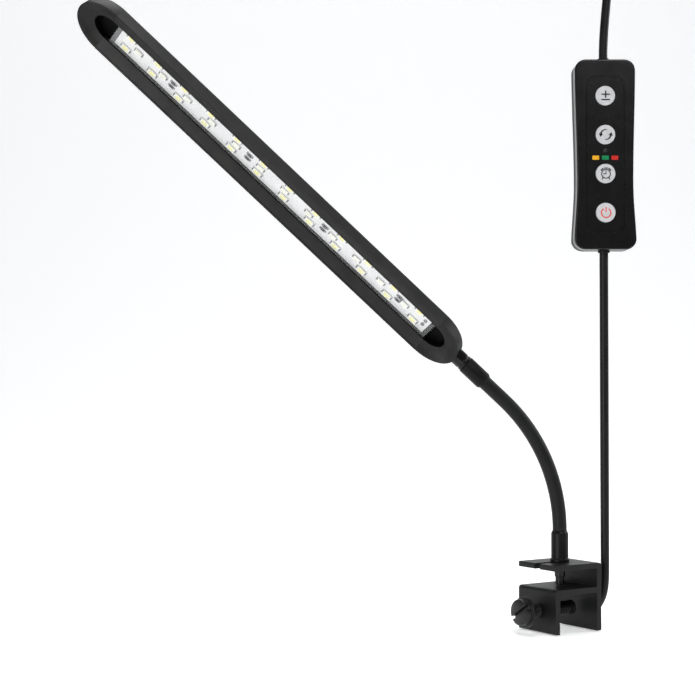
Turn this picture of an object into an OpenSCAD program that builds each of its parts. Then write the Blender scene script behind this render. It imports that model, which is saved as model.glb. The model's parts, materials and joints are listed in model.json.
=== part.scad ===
// Clip-on aquarium light: slim aluminium LED head on a gooseneck, screw clamp for
// the tank rim, and an in-line controller hanging on the low-voltage lead.
// The origin is the middle of the seat that lies on the rim of the glass.
// +X runs from the clamp screw to the fixed jaw, +Y along the rim, +Z up.

/* [Clamp] */
// Length of the clamp along the rim
clamp_len = 32; // [26:1:44]
// Clear width between the two jaws
jaw_gap = 27.2; // [22:0.2:34]
// Thickness of every wall of the clamp extrusion
wall = 3.2; // [2.4:0.1:3.8]
// Reach of the jaws below the rim seat
jaw_depth = 21.4; // [18:0.1:30]
// Clear height between the rim plate and the top plate
channel_h = 10.3; // [9:0.1:14]
// Diameter of the clamp screw
screw_d = 8; // [6:0.5:9]
// Gap left between the pressure pad and the fixed jaw
glass_gap = 4.4; // [2:0.1:16]
// Distance from the screw jaw to the screw's flange
screw_out = 8.5; // [4.6:0.1:10]

/* [Gooseneck] */
// Diameter of the gooseneck sleeve
neck_d = 8; // [7:0.5:9]
// Diameter of the lower ferrule
ferrule_d = 9.7; // [9.4:0.1:12]
// Height of the lower ferrule over the top plate
ferrule_h = 17.7; // [16:0.1:24]
// Straight rise of the neck before its bend
neck_rise = 18; // [17:1:40]
// Radius of the neck's bend at rest
neck_radius = 100; // [85:1:130]
// Angle that the neck bends through at rest
neck_bend = 47; // [30:1:60]
// Straight length after the bend, up to the head
neck_tail = 37; // [30:1:60]
// Direction that the arm leans to, seen from above
arm_heading = 153; // [140:1:170]
// Diameter of the upper ferrule
upper_ferrule_d = 10; // [9.4:0.1:11]

/* [Head] */
// Overall length of the light head
head_len = 285; // [230:1:340]
// Width of the light head
head_w = 26; // [24:1:32]
// Thickness of the light head
head_t = 11; // [10.6:0.1:14]
// Length of each end cap's rounded nose
cap_len = 20; // [17:1:26]
// Width of the trough that holds the circuit board
trough_w = 12.2; // [11:0.1:13]
// Turn of the light about the neck, 0 shining straight down
head_roll = 48; // [0:1:90]
// Spacing of the diodes in the two outer rows
led_pitch = 20; // [15:0.5:25]

/* [Controller] */
// Height of the controller
box_h = 110; // [95:0.1:130]
// Width of the controller's upper end
box_w = 35; // [32:0.5:42]
// Thickness of the controller
box_t = 14; // [12:0.5:18]
// Diameter of the push buttons
button_d = 11.2; // [9:0.1:12]
// Spacing of the push buttons
button_pitch = 22.5; // [18:0.5:24]
// Travel of a push button
button_travel = 0.5; // [0.3:0.05:0.8]

/* [Lead] */
// Diameter of the low-voltage lead
lead_d = 5; // [4.5:0.1:5.5]

/* [Hidden] */
$fn = 64;

// Clearances and fits
run_fit = 0.05;      // radial clearance of parts that turn or slide
slip = 0.1;          // clearance of parts slipped into each other and left there
key_gap = 0.2;       // clearance round a push button
eps = 1;             // how far a cut runs past the face that it opens

// Clamp
clamp_half = jaw_gap / 2 + wall;
plate_top = wall + channel_h + wall;
outer_r = 1.8;
nose_r = 0.8;
inner_r = 0.8;
tooth_pitch = 1.25;
tooth_count = 8;
tooth_h = 0.6;
screw_z = -0.45 * jaw_depth;
flange_d = screw_d + 9.5;
flange_t = 1;
head_d = screw_d + 6.5;
head_h = 3.8;
slot_w = 2;
slot_depth = 2.6;
slot_turn = -31;
pad_d = screw_d + 0.4;
pad_l = 3.4;
pad_tip = jaw_gap / 2 - glass_gap;
pilot_d = screw_d - 3;
pilot_l = 2;

// Stud that holds the neck in the slot of the top plate
stud_d = 4;
stud_slot = stud_d + 0.4;
stud_up = 5;
nut_d = 6;            // finger nut: a wide upper end and a narrower shank
nut_h = 4.6;
nut_shank_d = 5;
nut_shank_h = 4.4;
washer_t = 0.5;
washer_d = 7;
stud_gap = 0.4;

// Gooseneck: six bends, shared out evenly along its free length
neck_r = neck_d / 2;
ferrule_r = ferrule_d / 2;
upper_ferrule_r = upper_ferrule_d / 2;
bends = 6;
bend_limit = 22;
base_flange_r = ferrule_r + 0.55;
base_flange_h = 1.7;
base_flange_ease = 0.3;
chamfer_h = 1.7;
upper_ferrule_l = 13.6;
upper_taper = 1.6;
collar_r = 4.7;
collar_seat = 3;
collar_l = 6.7;
spigot_r = 3;
spigot_l = 6;
arc_len = neck_radius * neck_bend * PI / 180;
neck_len = neck_rise + arc_len + neck_tail;
upper_start = neck_len - collar_l - upper_ferrule_l;
seg_len = (upper_start - upper_taper - ferrule_h) / bends;
// A length leans from the next at rest and turns on by the limit. The cut keeps its side, where
// that side leaves the ball of the cup, above the cup's rim.
full_turn = bend_limit + seg_len / neck_radius * 180 / PI;
ball_rise = sqrt(pow(neck_r + run_fit, 2) - pow(neck_r, 2));
seg_cut = neck_r * sin(full_turn) - ball_rise * cos(full_turn) + 0.1;
relief_z = plate_top + 8;
relief_turn = 49;   // points away from the front view of the light
relief_seat = 2.9;
relief_r0 = 3;
relief_r1 = lead_d / 2 + 0.3;
relief_l = 18;
relief_neck = 2;      // straight length of the boot at each end
ferrule_ease = 0.1;   // rim left round the sleeve at a ferrule's mouth

// Head, drawn lying along +X from the neck, with the diodes facing +Z
head_half = head_w / 2;
rim_z = head_t / 2;
back_z = -rim_z;
rim_w = 0.7;
back_r = 2.5;
trough_half = trough_w / 2;
flank_drop = 3.4;
lip_z = rim_z - flank_drop;
floor_z = back_z + 2.6;
dish_len = cap_len / 2;
body_x0 = cap_len;
body_x1 = head_len - cap_len;
chamber_y0 = trough_half + 1.5;
chamber_y1 = head_half - 1.6;
chamber_z0 = back_z + 1.6;
chamber_z1 = 0.5;
tongue_l = 12;
tongue_root = 2;
screw_row_y = (chamber_y0 + chamber_y1) / 2;
cap_screw_x = 6;
cap_screw_r = 1.15;
cap_screw_head_r = 2.2;
cap_screw_head_h = 1.2;
cap_screw_l = 4.6;
cross_w = 0.5;        // slots of the cross recesses
cross_depth = 0.6;
cooling_grooves = 5;
groove_w = 1.2;
groove_depth = 0.7;
cover_t = 1;
cover_z = lip_z - 1.2 - cover_t;
cover_groove = 0.5;
cover_x0 = body_x0 + 1;
cover_x1 = body_x1 - 3;
strip_x0 = body_x0 + 3.5;
strip_x1 = body_x1 - 5.5;
tape_t = 0.3;
board_t = 1;
board_w = trough_w - 0.5;
board_z = floor_z + tape_t;
led_z = board_z + board_t;
led_l = 5.7;
led_w = 3;
led_h = 0.9;
led_row_y = 3.6;
led_first = 7;
led_mid_first = 14.3;
led_mid_l = 4.5;
led_mid_w = 2.6;
led_mid_pitch = led_pitch * 0.925;
led_count = floor((strip_x1 - strip_x0 - 2 * led_first) / led_pitch + 0.05) + 1;
led_mid_count = floor((strip_x1 - strip_x0 - 2 * led_mid_first) / led_mid_pitch + 0.05) + 1;
resistor_first = 40;
resistor_pitch = 57.8;
resistor_count = floor((strip_x1 - strip_x0 - resistor_first - led_mid_first) / resistor_pitch) + 1;
resistor_y = 1.2;
chip_l = 3.2;
chip_w = 1.6;
chip_h = 0.6;
clip_l = 2.6;
clip_h = 1.6;
wire_r = 0.6;
wire_z = back_z + 1.3;
wire_y = 1.4;
wire_end = strip_x0 + 3;
pad_r = 1.2;
pad_h = 0.5;

// Controller, drawn upright in its own X-Y plane with its face towards +Z
view_turn = -33;      // the controller faces the front view of the light
box_right = 28.2;     // to the right of the neck in that view
box_behind = 15;      // behind the neck in that view
box_mid_z = 249.6;
box_waist = box_w - 2.6;
box_foot = box_w + 1;
waist_y = -0.15 * box_h;
box_corner = 6.4;
box_wall = 1.8;
panel_w = box_w - 13.3;
panel_h = box_h - 19.8;
panel_r = 5.5;
panel_t = 0.8;
panel_step = 0.3;
panel_back = box_t / 2 - panel_step - panel_t;
button_top = box_t / 2 + 0.5;
skirt_t = 1;
skirt_w = 0.8;
stem_r = 1.6;
pcb_w = 22;
pcb_h = box_h - 16;
pcb_t = 1.6;
pcb_z = -3.2;
tact_w = 6;
tact_h = 2.6;
plunger_h = 0.9;
plunger_r = 1.5;
lamp_y = -2;
lamp_pitch = 5.5;
lamp_w = 4;
lamp_h = 2.5;
status_y = 2.2;
status_d = 2.6;
lamp_proud = 0.1;
post_r = 2.6;
post_x = 12.5;
post_y = box_h / 2 - 7.5;
prop_r = 2;
prop_y = 30;
box_screw_r = 1.2;
box_screw_head_r = 2.2;
box_screw_head_h = 1;
box_screw_grip = 3.6;
gland_r = 3.4;
gland_flange_r = gland_r + 0.6;
gland_out = 1.4;
gland_flange_t = 1.2;

// Lead: its coil hangs over the controller, under the mains adapter
coil_r = 27.5;
coil_bundle_r = 1.5 * lead_d;
coil_z = 385;
tie_w = 3;
tie_t = 0.8;
tie_gap = 0.15;
plug_z = 441;
plug_w = 36;
plug_h = 46;
plug_t = 28;
plug_wall = 2;
plug_corner = 5;
plug_split = 6;       // how far the seam lies behind the middle
blade_w = 6.3;
blade_t = 1.5;
blade_l = 16;
blade_gap = 12.7;
blade_root = 2;
plug_relief_l = 16;
plug_relief_r = 3.8;
plug_flange_r = 4.8;
plug_flange_t = 1.4;

// Route of the lower lead, by hand, in the light's own frame: out behind the
// ferrule, down in a drip loop behind the clamp, and up to the controller
lead_lower_route = [
    [13.7, 15.8, 24.7], [17.7, 20.4, 24.7], [22, 25.3, 24.2], [26.3, 30.2, 22], [30.2, 34.7, 17],
    [33, 37.9, 11], [34.2, 39.2, 4], [34.1, 37.6, -4], [33.8, 33.1, -10.8], [33.4, 26.3, -15.4],
    [33, 18.3, -17], [32.6, 10.3, -15.4], [32.2, 3.4, -10.8], [31.9, -1.2, -4],
    [31.8, -2.8, 4], [31.8, -2.8, 14], [31.8, -2.8, 27], [31.8, -2.8, 45],
    [31.8, -2.8, 65], [31.8, -2.8, 90], [31.8, -2.8, 115], [31.8, -2.8, 140],
    [31.8, -2.8, 165], [31.8, -2.8, 193.2]
];

// ---------- shared shapes ----------

// The sliver between a square corner and the arc of radius r that rounds it
module corner_sliver(r) {
    difference() {
        square([r, r]);
        translate([r, r]) circle(r = r);
    }
}

module round_rect(w, h, r) {
    square([w - 2 * r, h], center = true);
    square([w, h - 2 * r], center = true);
    for (sx = [-1, 1], sy = [-1, 1])
        translate([sx * (w / 2 - r), sy * (h / 2 - r)]) circle(r = r);
}

module bar_x(r, x0, x1) {
    translate([x0, 0, 0]) rotate([0, 90, 0]) cylinder(r = r, h = x1 - x0);
}

// The cut of a cross recess in a screw's head that faces -Z
module cross_recess(w) {
    for (turn = [0, 90]) rotate([0, 0, turn]) cube([w, cross_w, 2 * cross_depth], center = true);
}

function cross3(a, b) = [a[1] * b[2] - a[2] * b[1], a[2] * b[0] - a[0] * b[2], a[0] * b[1] - a[1] * b[0]];
function unit(v) = v / norm(v);
function ahead(p, i) = unit(p[min(i + 1, len(p) - 1)] - p[max(i - 1, 0)]);
function side_of(t) = unit(cross3(t, abs(t[2]) > 0.9 ? [0, 1, 0] : [0, 0, 1]));
function carried(u, t) = unit(u - (u * t) * t);
function frames(p, i, u) =
    let (next = min(i + 1, len(p) - 1))
    i >= len(p) ? [] : concat([u], frames(p, i + 1, carried(u, ahead(p, next))));

// A round tube of radius r swept along the points p, closed at both ends
module lead_tube(p, r, sides) {
    us = frames(p, 0, side_of(ahead(p, 0)));
    rings = [for (i = [0 : len(p) - 1], k = [0 : sides - 1])
        let (t = ahead(p, i), u = us[i], v = cross3(t, u), a = 360 * k / sides)
        p[i] + r * (cos(a) * u + sin(a) * v)];
    walls = [for (i = [0 : len(p) - 2], k = [0 : sides - 1])
        let (a = i * sides + k, b = i * sides + (k + 1) % sides)
        [a, a + sides, b + sides, b]];
    last = (len(p) - 1) * sides;
    first_end = [for (k = [0 : sides - 1]) k];
    last_end = [for (k = [sides - 1 : -1 : 0]) last + k];
    polyhedron(rings, concat(walls, [first_end], [last_end]), convexity = 8);
}

// ---------- clamp ----------

module bracket_profile() {
    teeth_z = -jaw_depth + 0.6;
    difference() {
        union() {
            translate([-clamp_half, 0]) square([2 * clamp_half, wall]);
            translate([-clamp_half, -jaw_depth]) square([wall, jaw_depth + wall]);
            translate([jaw_gap / 2, -jaw_depth]) square([wall, jaw_depth + plate_top]);
            translate([-clamp_half, plate_top - wall]) square([2 * clamp_half, wall]);
            translate([jaw_gap / 2, 0]) mirror([1, 1]) corner_sliver(inner_r);
            translate([-jaw_gap / 2, 0]) mirror([0, 1]) corner_sliver(inner_r);
            translate([jaw_gap / 2, wall]) mirror([1, 0]) corner_sliver(inner_r);
            translate([jaw_gap / 2, plate_top - wall]) mirror([1, 1]) corner_sliver(inner_r);
        }
        translate([-clamp_half, wall]) mirror([0, 1]) corner_sliver(outer_r);
        translate([clamp_half, plate_top]) mirror([1, 1]) corner_sliver(outer_r);
        translate([-clamp_half, plate_top]) mirror([0, 1]) corner_sliver(nose_r);
        translate([-clamp_half, plate_top - wall]) corner_sliver(nose_r);
        translate([-clamp_half, -jaw_depth]) corner_sliver(nose_r);
        translate([clamp_half, -jaw_depth]) mirror([1, 0]) corner_sliver(nose_r);
        for (i = [0 : tooth_count - 1])
            translate([-jaw_gap / 2, teeth_z + i * tooth_pitch])
                polygon([[-tooth_h, tooth_pitch / 2], [eps, 0], [eps, tooth_pitch]]);
    }
}

module clamp_bracket() {
    color("#2b2b2c")
    difference() {
        rotate([90, 0, 0]) linear_extrude(clamp_len, center = true) bracket_profile();
        translate([0, 0, plate_top - wall - eps]) linear_extrude(wall + 2 * eps) {
            circle(d = stud_slot);
            translate([-clamp_half - eps, -stud_slot / 2]) square([clamp_half + eps, stud_slot]);
        }
        translate([0, 0, screw_z])
            bar_x(screw_d / 2 + run_fit, -clamp_half - eps, -jaw_gap / 2 + eps);
    }
}

// Places the screw's own axis, with its parts measured inwards from the jaw
module on_screw_axis() {
    translate([0, 0, screw_z]) children();
}

module clamp_screw() {
    flange_x = -clamp_half - screw_out;
    pad_x = pad_tip - pad_l;
    outer_x = flange_x - flange_t - head_h;
    color("#262626")
    on_screw_axis() difference() {
        union() {
            bar_x(flange_d / 2, flange_x - flange_t, flange_x);
            bar_x(head_d / 2, outer_x, flange_x - flange_t);
            bar_x(screw_d / 2, flange_x, pad_x);
            bar_x(pilot_d / 2, pad_x, pad_x + pilot_l);
        }
        translate([outer_x, 0, 0]) rotate([slot_turn, 0, 0])
            cube([2 * slot_depth, flange_d, slot_w], center = true);
    }
}

module pressure_pad() {
    round_r = pad_d * 0.3;
    color("#1c1c1c")
    on_screw_axis() translate([pad_tip - pad_l, 0, 0]) rotate([0, 90, 0]) difference() {
        rotate_extrude() difference() {
            square([pad_d / 2, pad_l]);
            translate([pad_d / 2, pad_l]) mirror([1, 1]) corner_sliver(round_r);
        }
        translate([0, 0, -eps]) cylinder(r = pilot_d / 2 + run_fit, h = pilot_l + run_fit + eps);
    }
}

module threaded_stud() {
    color("#3a3a3a")
    translate([0, 0, wall + stud_gap]) cylinder(d = stud_d, h = plate_top + stud_up - wall - stud_gap);
}

module lock_washer() {
    color("#4a4a4a")
    translate([0, 0, plate_top - wall - washer_t]) difference() {
        cylinder(d = washer_d, h = washer_t);
        translate([0, 0, -eps]) cylinder(d = stud_d + 2 * slip, h = washer_t + 2 * eps);
    }
}

module lock_nut() {
    color("#303030")
    translate([0, 0, plate_top - wall - washer_t]) mirror([0, 0, 1]) difference() {
        union() {
            cylinder(d = nut_d, h = nut_h);
            cylinder(d = nut_shank_d, h = nut_h + nut_shank_h);
        }
        translate([0, 0, -eps]) cylinder(r = stud_d / 2 + run_fit, h = nut_h + nut_shank_h + 2 * eps);
    }
}

// ---------- gooseneck ----------

// Turns +X away from the front view of the light, level, at the lead's height
module on_relief_axis() {
    translate([0, 0, relief_z]) rotate([0, 0, relief_turn]) children();
}

module lower_ferrule() {
    bore_z = ferrule_h - spigot_l - run_fit;
    color("#242424")
    difference() {
        translate([0, 0, plate_top]) difference() {
            rotate_extrude() polygon([
                [0, 0], [base_flange_r, 0], [base_flange_r, base_flange_h],
                [ferrule_r, base_flange_h + base_flange_ease], [ferrule_r, ferrule_h - chamfer_h],
                [neck_r + ferrule_ease, ferrule_h], [0, ferrule_h]
            ]);
            translate([0, 0, -eps]) cylinder(r = stud_d / 2 + run_fit, h = stud_up + eps);
            translate([0, 0, bore_z]) cylinder(r = spigot_r + run_fit, h = spigot_l + eps);
        }
        on_relief_axis() bar_x(relief_r0 + run_fit, relief_seat, ferrule_r + eps);
    }
}

// Strain relief: a boot that tapers from the ferrule down to the lead
module strain_relief() {
    tip = relief_seat + relief_l + 1;
    color("#191919")
    on_relief_axis() rotate([0, 90, 0]) rotate_extrude() polygon([
        [0, relief_seat], [relief_r0, relief_seat], [relief_r0, ferrule_r + relief_neck],
        [relief_r1, tip - relief_neck], [relief_r1, tip], [0, tip]
    ]);
}

// Place of the neck's centre line at distance s above the top plate, as
// [outwards, up], and its lean from the vertical there
function neck_turn(s) = min(max((s - neck_rise) / arc_len, 0), 1) * neck_bend;
function neck_at(s) =
    let (a = neck_turn(s), over = max(s - neck_rise - arc_len, 0))
    [neck_radius * (1 - cos(a)) + over * sin(a), min(s, neck_rise) + neck_radius * sin(a) + over * cos(a)];
function bend_at(k) = ferrule_h + (k - 0.5) * seg_len;

// Stands +Z along the line from one place on the neck to another, from the first
module along_neck(s0, s1) {
    from = neck_at(s0);
    to = neck_at(s1);
    lean = atan2(to[0] - from[0], to[1] - from[1]);
    rotate([0, 0, arm_heading]) translate([from[0], 0, plate_top + from[1]]) rotate([0, lean, 0]) children();
}

function span(s0, s1) = norm(neck_at(s1) - neck_at(s0));

// One stiff length between two bends: a ball at its lower end, a cup at its upper
module neck_segment(k) {
    s0 = bend_at(k);
    s1 = bend_at(k + 1);
    l = span(s0, s1);
    color("#1c1d1c")
    along_neck(s0, s1) difference() {
        union() {
            sphere(r = neck_r);
            cylinder(r = neck_r, h = l - seg_cut);
        }
        translate([0, 0, l]) sphere(r = neck_r + run_fit);
    }
}

// The lowest length turns upright in the ferrule, with its cup where the curve has begun
module neck_seg_0() {
    l = neck_at(bend_at(1))[1] - ferrule_h;
    color("#1c1d1c")
    difference() {
        translate([0, 0, plate_top + ferrule_h]) {
            translate([0, 0, -spigot_l]) cylinder(r = spigot_r, h = spigot_l + 2 * run_fit);
            translate([0, 0, run_fit]) cylinder(r = neck_r, h = l - seg_cut - run_fit);
        }
        along_neck(bend_at(1), bend_at(2)) sphere(r = neck_r + run_fit);
    }
}

module neck_seg_1() { neck_segment(1); }
module neck_seg_2() { neck_segment(2); }
module neck_seg_3() { neck_segment(3); }
module neck_seg_4() { neck_segment(4); }
module neck_seg_5() { neck_segment(5); }

module neck_seg_6() {
    s0 = bend_at(6);
    s1 = upper_start - upper_taper;
    color("#1c1d1c")
    along_neck(s0, s1) {
        sphere(r = neck_r);
        cylinder(r = neck_r, h = span(s0, s1));
    }
}

// Stands +Z along the straight end of the neck, from the upper ferrule's start
module on_neck_end() {
    along_neck(upper_start, neck_len) children();
}

module upper_ferrule() {
    color("#242424")
    on_neck_end() difference() {
        rotate_extrude() polygon([
            [0, -upper_taper], [neck_r + ferrule_ease, -upper_taper], [upper_ferrule_r, 0],
            [upper_ferrule_r, upper_ferrule_l], [0, upper_ferrule_l]
        ]);
        translate([0, 0, upper_ferrule_l - spigot_l - run_fit])
            cylinder(r = spigot_r + run_fit, h = spigot_l + run_fit + eps);
    }
}

// Turned collar: its spigot turns in the ferrule, its other end is in the cap
module neck_collar() {
    z0 = 0.4;      // end of the lower chamfer
    z1 = 1.6;      // groove, from its lower edge to its upper edge
    z2 = 2.7;
    groove = 0.35;
    color("#141414")
    on_neck_end() translate([0, 0, upper_ferrule_l]) rotate_extrude() polygon([
        [0, -spigot_l], [spigot_r, -spigot_l], [spigot_r, run_fit], [collar_r - groove, run_fit],
        [collar_r, z0], [collar_r, z1], [collar_r - groove, z1 + groove], [collar_r - groove, z2 - groove],
        [collar_r, z2], [collar_r, collar_l + collar_seat], [0, collar_l + collar_seat]
    ]);
}

// ---------- light head ----------

// Lays the head's +X along the end of the neck, with the diodes on +Z
module on_head() {
    on_neck_end() translate([0, 0, upper_ferrule_l + collar_l])
        rotate([0, -90, 0]) rotate([head_roll - 180, 0, 0]) children();
}

// Half of an ellipse that ends in a nose at x = 0, widest at x = l, up to x = to
function nose(half, l, to) = concat(
    [for (a = [-90 : 7.5 : 90]) [l * (1 - cos(a)), half * sin(a)]],
    [[to, half], [to, -half]]
);

module nose_slab(half, l, z0, z1, start, to) {
    translate([start, 0, z0]) linear_extrude(z1 - z0) polygon(nose(half, l, to));
}

module end_cap() {
    skin = 0.05;
    tuck = 0.7 * back_r;    // how far the back face is drawn in from the sides
    difference() {
        union() {
            hull() {
                nose_slab(head_half, cap_len, back_z + back_r, rim_z, 0, cap_len);
                nose_slab(head_half - tuck, cap_len - tuck, back_z, back_z + skin, tuck, cap_len - tuck);
            }
            for (side = [-1, 1]) cap_tongue(side);
        }
        hull() {
            nose_slab(head_half - rim_w, cap_len - rim_w, rim_z, rim_z + skin, rim_w, cap_len + eps);
            nose_slab(trough_half, dish_len, lip_z, lip_z + skin, cap_len - dish_len, dish_len + eps);
        }
        nose_slab(trough_half, dish_len, floor_z, lip_z + skin, cap_len - dish_len, dish_len + eps);
        for (side = [-1, 1])
            translate([cap_len + cap_screw_x, side * screw_row_y, back_z])
                cylinder(r = cap_screw_r, h = cap_screw_l + slip);
    }
}

module cap_tongue(side) {
    w = chamber_y1 - chamber_y0 - 2 * slip;
    h = chamber_z1 - chamber_z0 - 2 * slip;
    translate([cap_len - tongue_root, side * screw_row_y - w / 2, chamber_z0 + slip])
        cube([tongue_l + tongue_root, w, h]);
}

module end_cap_neck() {
    color("#2d2d2d")
    on_head() difference() {
        end_cap();
        bar_x(collar_r + run_fit, -eps, collar_seat);
        for (side = [-1, 1])
            translate([0, side * wire_y, wire_z]) bar_x(wire_r + run_fit, collar_seat - eps, cap_len + eps);
    }
}

module end_cap_tip() {
    color("#2d2d2d")
    on_head() translate([head_len, 0, 0]) mirror([1, 0, 0]) end_cap();
}

// Cross-section of the head's extrusion, width along X and depth along Y
module head_profile() {
    difference() {
        polygon([
            [-head_half, back_z], [head_half, back_z], [head_half, rim_z], [head_half - rim_w, rim_z],
            [trough_half, lip_z], [trough_half, floor_z], [-trough_half, floor_z], [-trough_half, lip_z],
            [-head_half + rim_w, rim_z], [-head_half, rim_z]
        ]);
        translate([-head_half, back_z]) corner_sliver(back_r);
        translate([head_half, back_z]) mirror([1, 0]) corner_sliver(back_r);
        translate([-trough_half - cover_groove, cover_z - slip])
            square([trough_w + 2 * cover_groove, cover_t + 2 * slip]);
        for (side = [0, 1]) mirror([side, 0])
            translate([chamber_y0, chamber_z0])
                square([chamber_y1 - chamber_y0, chamber_z1 - chamber_z0]);
        for (i = [0 : cooling_grooves - 1])
            translate([(i - (cooling_grooves - 1) / 2) * 3 * groove_w, back_z + groove_depth / 2])
                square([groove_w, groove_depth + 0.01], center = true);
    }
}

module head_extrusion() {
    color("#3b3c3a")
    on_head() difference() {
        translate([body_x0, 0, 0]) rotate([90, 0, 90]) linear_extrude(body_x1 - body_x0) head_profile();
        each_cap_screw() cylinder(r = cap_screw_r + slip, h = cap_screw_l);
        each_cap_screw()
            cylinder(r1 = cap_screw_head_r + slip, r2 = cap_screw_r + slip, h = cap_screw_head_h + slip);
        for (side = [-1, 1]) {
            translate([0, side * wire_y, wire_z]) bar_x(wire_r + run_fit, body_x0 - eps, wire_end);
            translate([wire_end, side * wire_y, wire_z])
                cylinder(r = wire_r + run_fit, h = floor_z - wire_z + eps);
            translate([wire_end, side * wire_y, wire_z]) sphere(r = wire_r + run_fit);
        }
    }
}

module each_cap_screw() {
    for (x = [body_x0 + cap_screw_x, body_x1 - cap_screw_x], side = [-1, 1])
        translate([x, side * screw_row_y, back_z]) children();
}

module cap_screws() {
    color("#555555")
    on_head() each_cap_screw() difference() {
        union() {
            cylinder(r = cap_screw_r, h = cap_screw_l);
            cylinder(r1 = cap_screw_head_r, r2 = cap_screw_r, h = cap_screw_head_h);
        }
        cross_recess(cap_screw_head_r);
    }
}

// A flat strip in the trough, from x0 to x1 at height z
module strip(x0, x1, w, z, t) {
    on_head() translate([x0, -w / 2, z]) difference() {
        cube([x1 - x0, w, t]);
        for (side = [-1, 1])
            translate([wire_end - x0, w / 2 + side * wire_y, -eps])
                cylinder(r = wire_r + run_fit, h = t + 2 * eps);
    }
}

module thermal_tape() {
    color("#b9bcc0") strip(strip_x0, strip_x1, board_w, floor_z, tape_t);
}

module circuit_board() {
    color("#e8e8e6") strip(strip_x0, strip_x1, board_w, board_z, board_t);
}

// A diode package: a tray with a shallow well round its phosphor
module led(l, w) {
    rim = 0.5;
    well = 0.15;
    translate([0, 0, led_h / 2]) difference() {
        cube([l, w, led_h], center = true);
        translate([0, 0, led_h / 2]) cube([l - 2 * rim, w - 2 * rim, 2 * well], center = true);
    }
}

module leds_outer() {
    color("#f2eda6")
    on_head() for (i = [0 : led_count - 1], side = [-1, 1])
        translate([strip_x1 - led_first - i * led_pitch, side * led_row_y, led_z]) led(led_l, led_w);
}

module leds_middle() {
    color("#f4f4f0")
    on_head() for (i = [0 : led_mid_count - 1])
        translate([strip_x1 - led_mid_first - i * led_mid_pitch, 0, led_z]) led(led_mid_l, led_mid_w);
}

// Chip resistors, in pairs between the diodes
module resistors() {
    color("#2e2e2e")
    on_head() for (i = [0 : resistor_count - 1], side = [-1, 1])
        translate([strip_x1 - resistor_first - i * resistor_pitch, side * resistor_y, led_z + chip_h / 2])
            cube([chip_l, chip_w, chip_h], center = true);
}

module solder_pads() {
    color("#c9cacc")
    on_head() for (side = [-1, 1])
        translate([wire_end, side * wire_y, led_z]) difference() {
            cylinder(r1 = pad_r, r2 = pad_r - 0.3, h = pad_h);
            translate([0, 0, -eps]) cylinder(r = wire_r + run_fit, h = eps + pad_h / 2);
        }
}

module strip_end_clip() {
    color("#8a8c8e")
    on_head() translate([strip_x1 + slip, -board_w / 2, floor_z]) cube([clip_l, board_w, clip_h]);
}

module clear_cover() {
    w = trough_w + 2 * cover_groove - 2 * slip;
    color("#dfe6ea", 0.3)
    on_head() translate([cover_x0, -w / 2, cover_z]) cube([cover_x1 - cover_x0, w, cover_t]);
}

module head_wires() {
    color("#202020")
    on_head() for (side = [-1, 1]) {
        translate([0, side * wire_y, wire_z]) bar_x(wire_r, collar_seat, wire_end);
        translate([wire_end, side * wire_y, wire_z]) sphere(r = wire_r);
        translate([wire_end, side * wire_y, wire_z]) cylinder(r = wire_r, h = led_z - wire_z);
    }
}

// ---------- controller ----------

// Stands a drawing in X-Y upright, facing the front view, beside the neck
module in_front_view() {
    rotate([0, 0, view_turn]) translate([box_right, box_behind, 0]) rotate([90, 0, 0]) children();
}

module on_box() {
    in_front_view() translate([0, box_mid_z, 0]) children();
}

// Half of the width at height y: straight at both ends, drawn in at the waist
function box_half(y) =
    let (up = y > waist_y, end = up ? box_h / 2 : -box_h / 2, full = up ? box_w : box_foot)
    (box_waist + (full - box_waist) * (1 - cos(180 * (y - waist_y) / (end - waist_y))) / 2) / 2;

// One side of the outline from the foot to the top, inset by t
function box_side(t) =
    let (r = box_corner - t, e = box_h / 2 - t)
    let (foot = box_half(-box_h / 2) - t, top = box_half(box_h / 2) - t)
    concat(
        [for (a = [-90 : 15 : -15]) [foot - r + r * cos(a), -e + r + r * sin(a)]],
        [for (y = [-e + r : (2 * (e - r)) / 16 : e - r + 0.01]) [box_half(y) - t, y]],
        [for (a = [15 : 15 : 90]) [top - r + r * cos(a), e - r + r * sin(a)]]
    );

module box_outline(t) {
    right = box_side(t);
    left = [for (i = [len(right) - 1 : -1 : 0]) [-right[i][0], right[i][1]]];
    polygon(concat(right, left));
}

function button_y(i) = (1.5 - i) * button_pitch;

module each_post(z) {
    for (side = [-1, 1]) translate([side * post_x, -side * post_y, z]) children();
}

// Runs +Z inwards from the box's two ends, along its middle line
module from_each_end(inset) {
    for (side = [-1, 1]) from_end(side, inset) children();
}

module from_end(side, inset) {
    translate([0, side * (box_h / 2 - inset), 0]) rotate([side * 90, 0, 0]) children();
}

module key_holes(z0, z1) {
    for (i = [0 : 3]) translate([0, button_y(i), z0]) cylinder(r = button_d / 2 + key_gap, h = z1 - z0);
    for (i = [-1 : 1]) translate([i * lamp_pitch - lamp_w / 2 - slip, lamp_y - lamp_h / 2 - slip, z0])
        cube([lamp_w + 2 * slip, lamp_h + 2 * slip, z1 - z0]);
    translate([0, status_y, z0]) cylinder(r = status_d / 2 + slip, h = z1 - z0);
}

module controller_front() {
    face_back = panel_back - box_wall;
    color("#1b1b1c")
    on_box() difference() {
        union() {
            difference() {
                linear_extrude(box_t / 2) box_outline(0);
                translate([0, 0, -eps]) linear_extrude(face_back + eps) box_outline(box_wall);
            }
            each_post(0) cylinder(r = post_r, h = panel_back);
        }
        translate([0, 0, panel_back]) linear_extrude(box_t)
            round_rect(panel_w + 2 * slip, panel_h + 2 * slip, panel_r + slip);
        key_holes(face_back - eps, box_t);
        each_post(-eps) cylinder(r = box_screw_r + run_fit, h = box_screw_grip + slip + eps);
        from_each_end(-eps) cylinder(r = gland_r + slip, h = box_wall + 2 * eps);
    }
}

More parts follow.
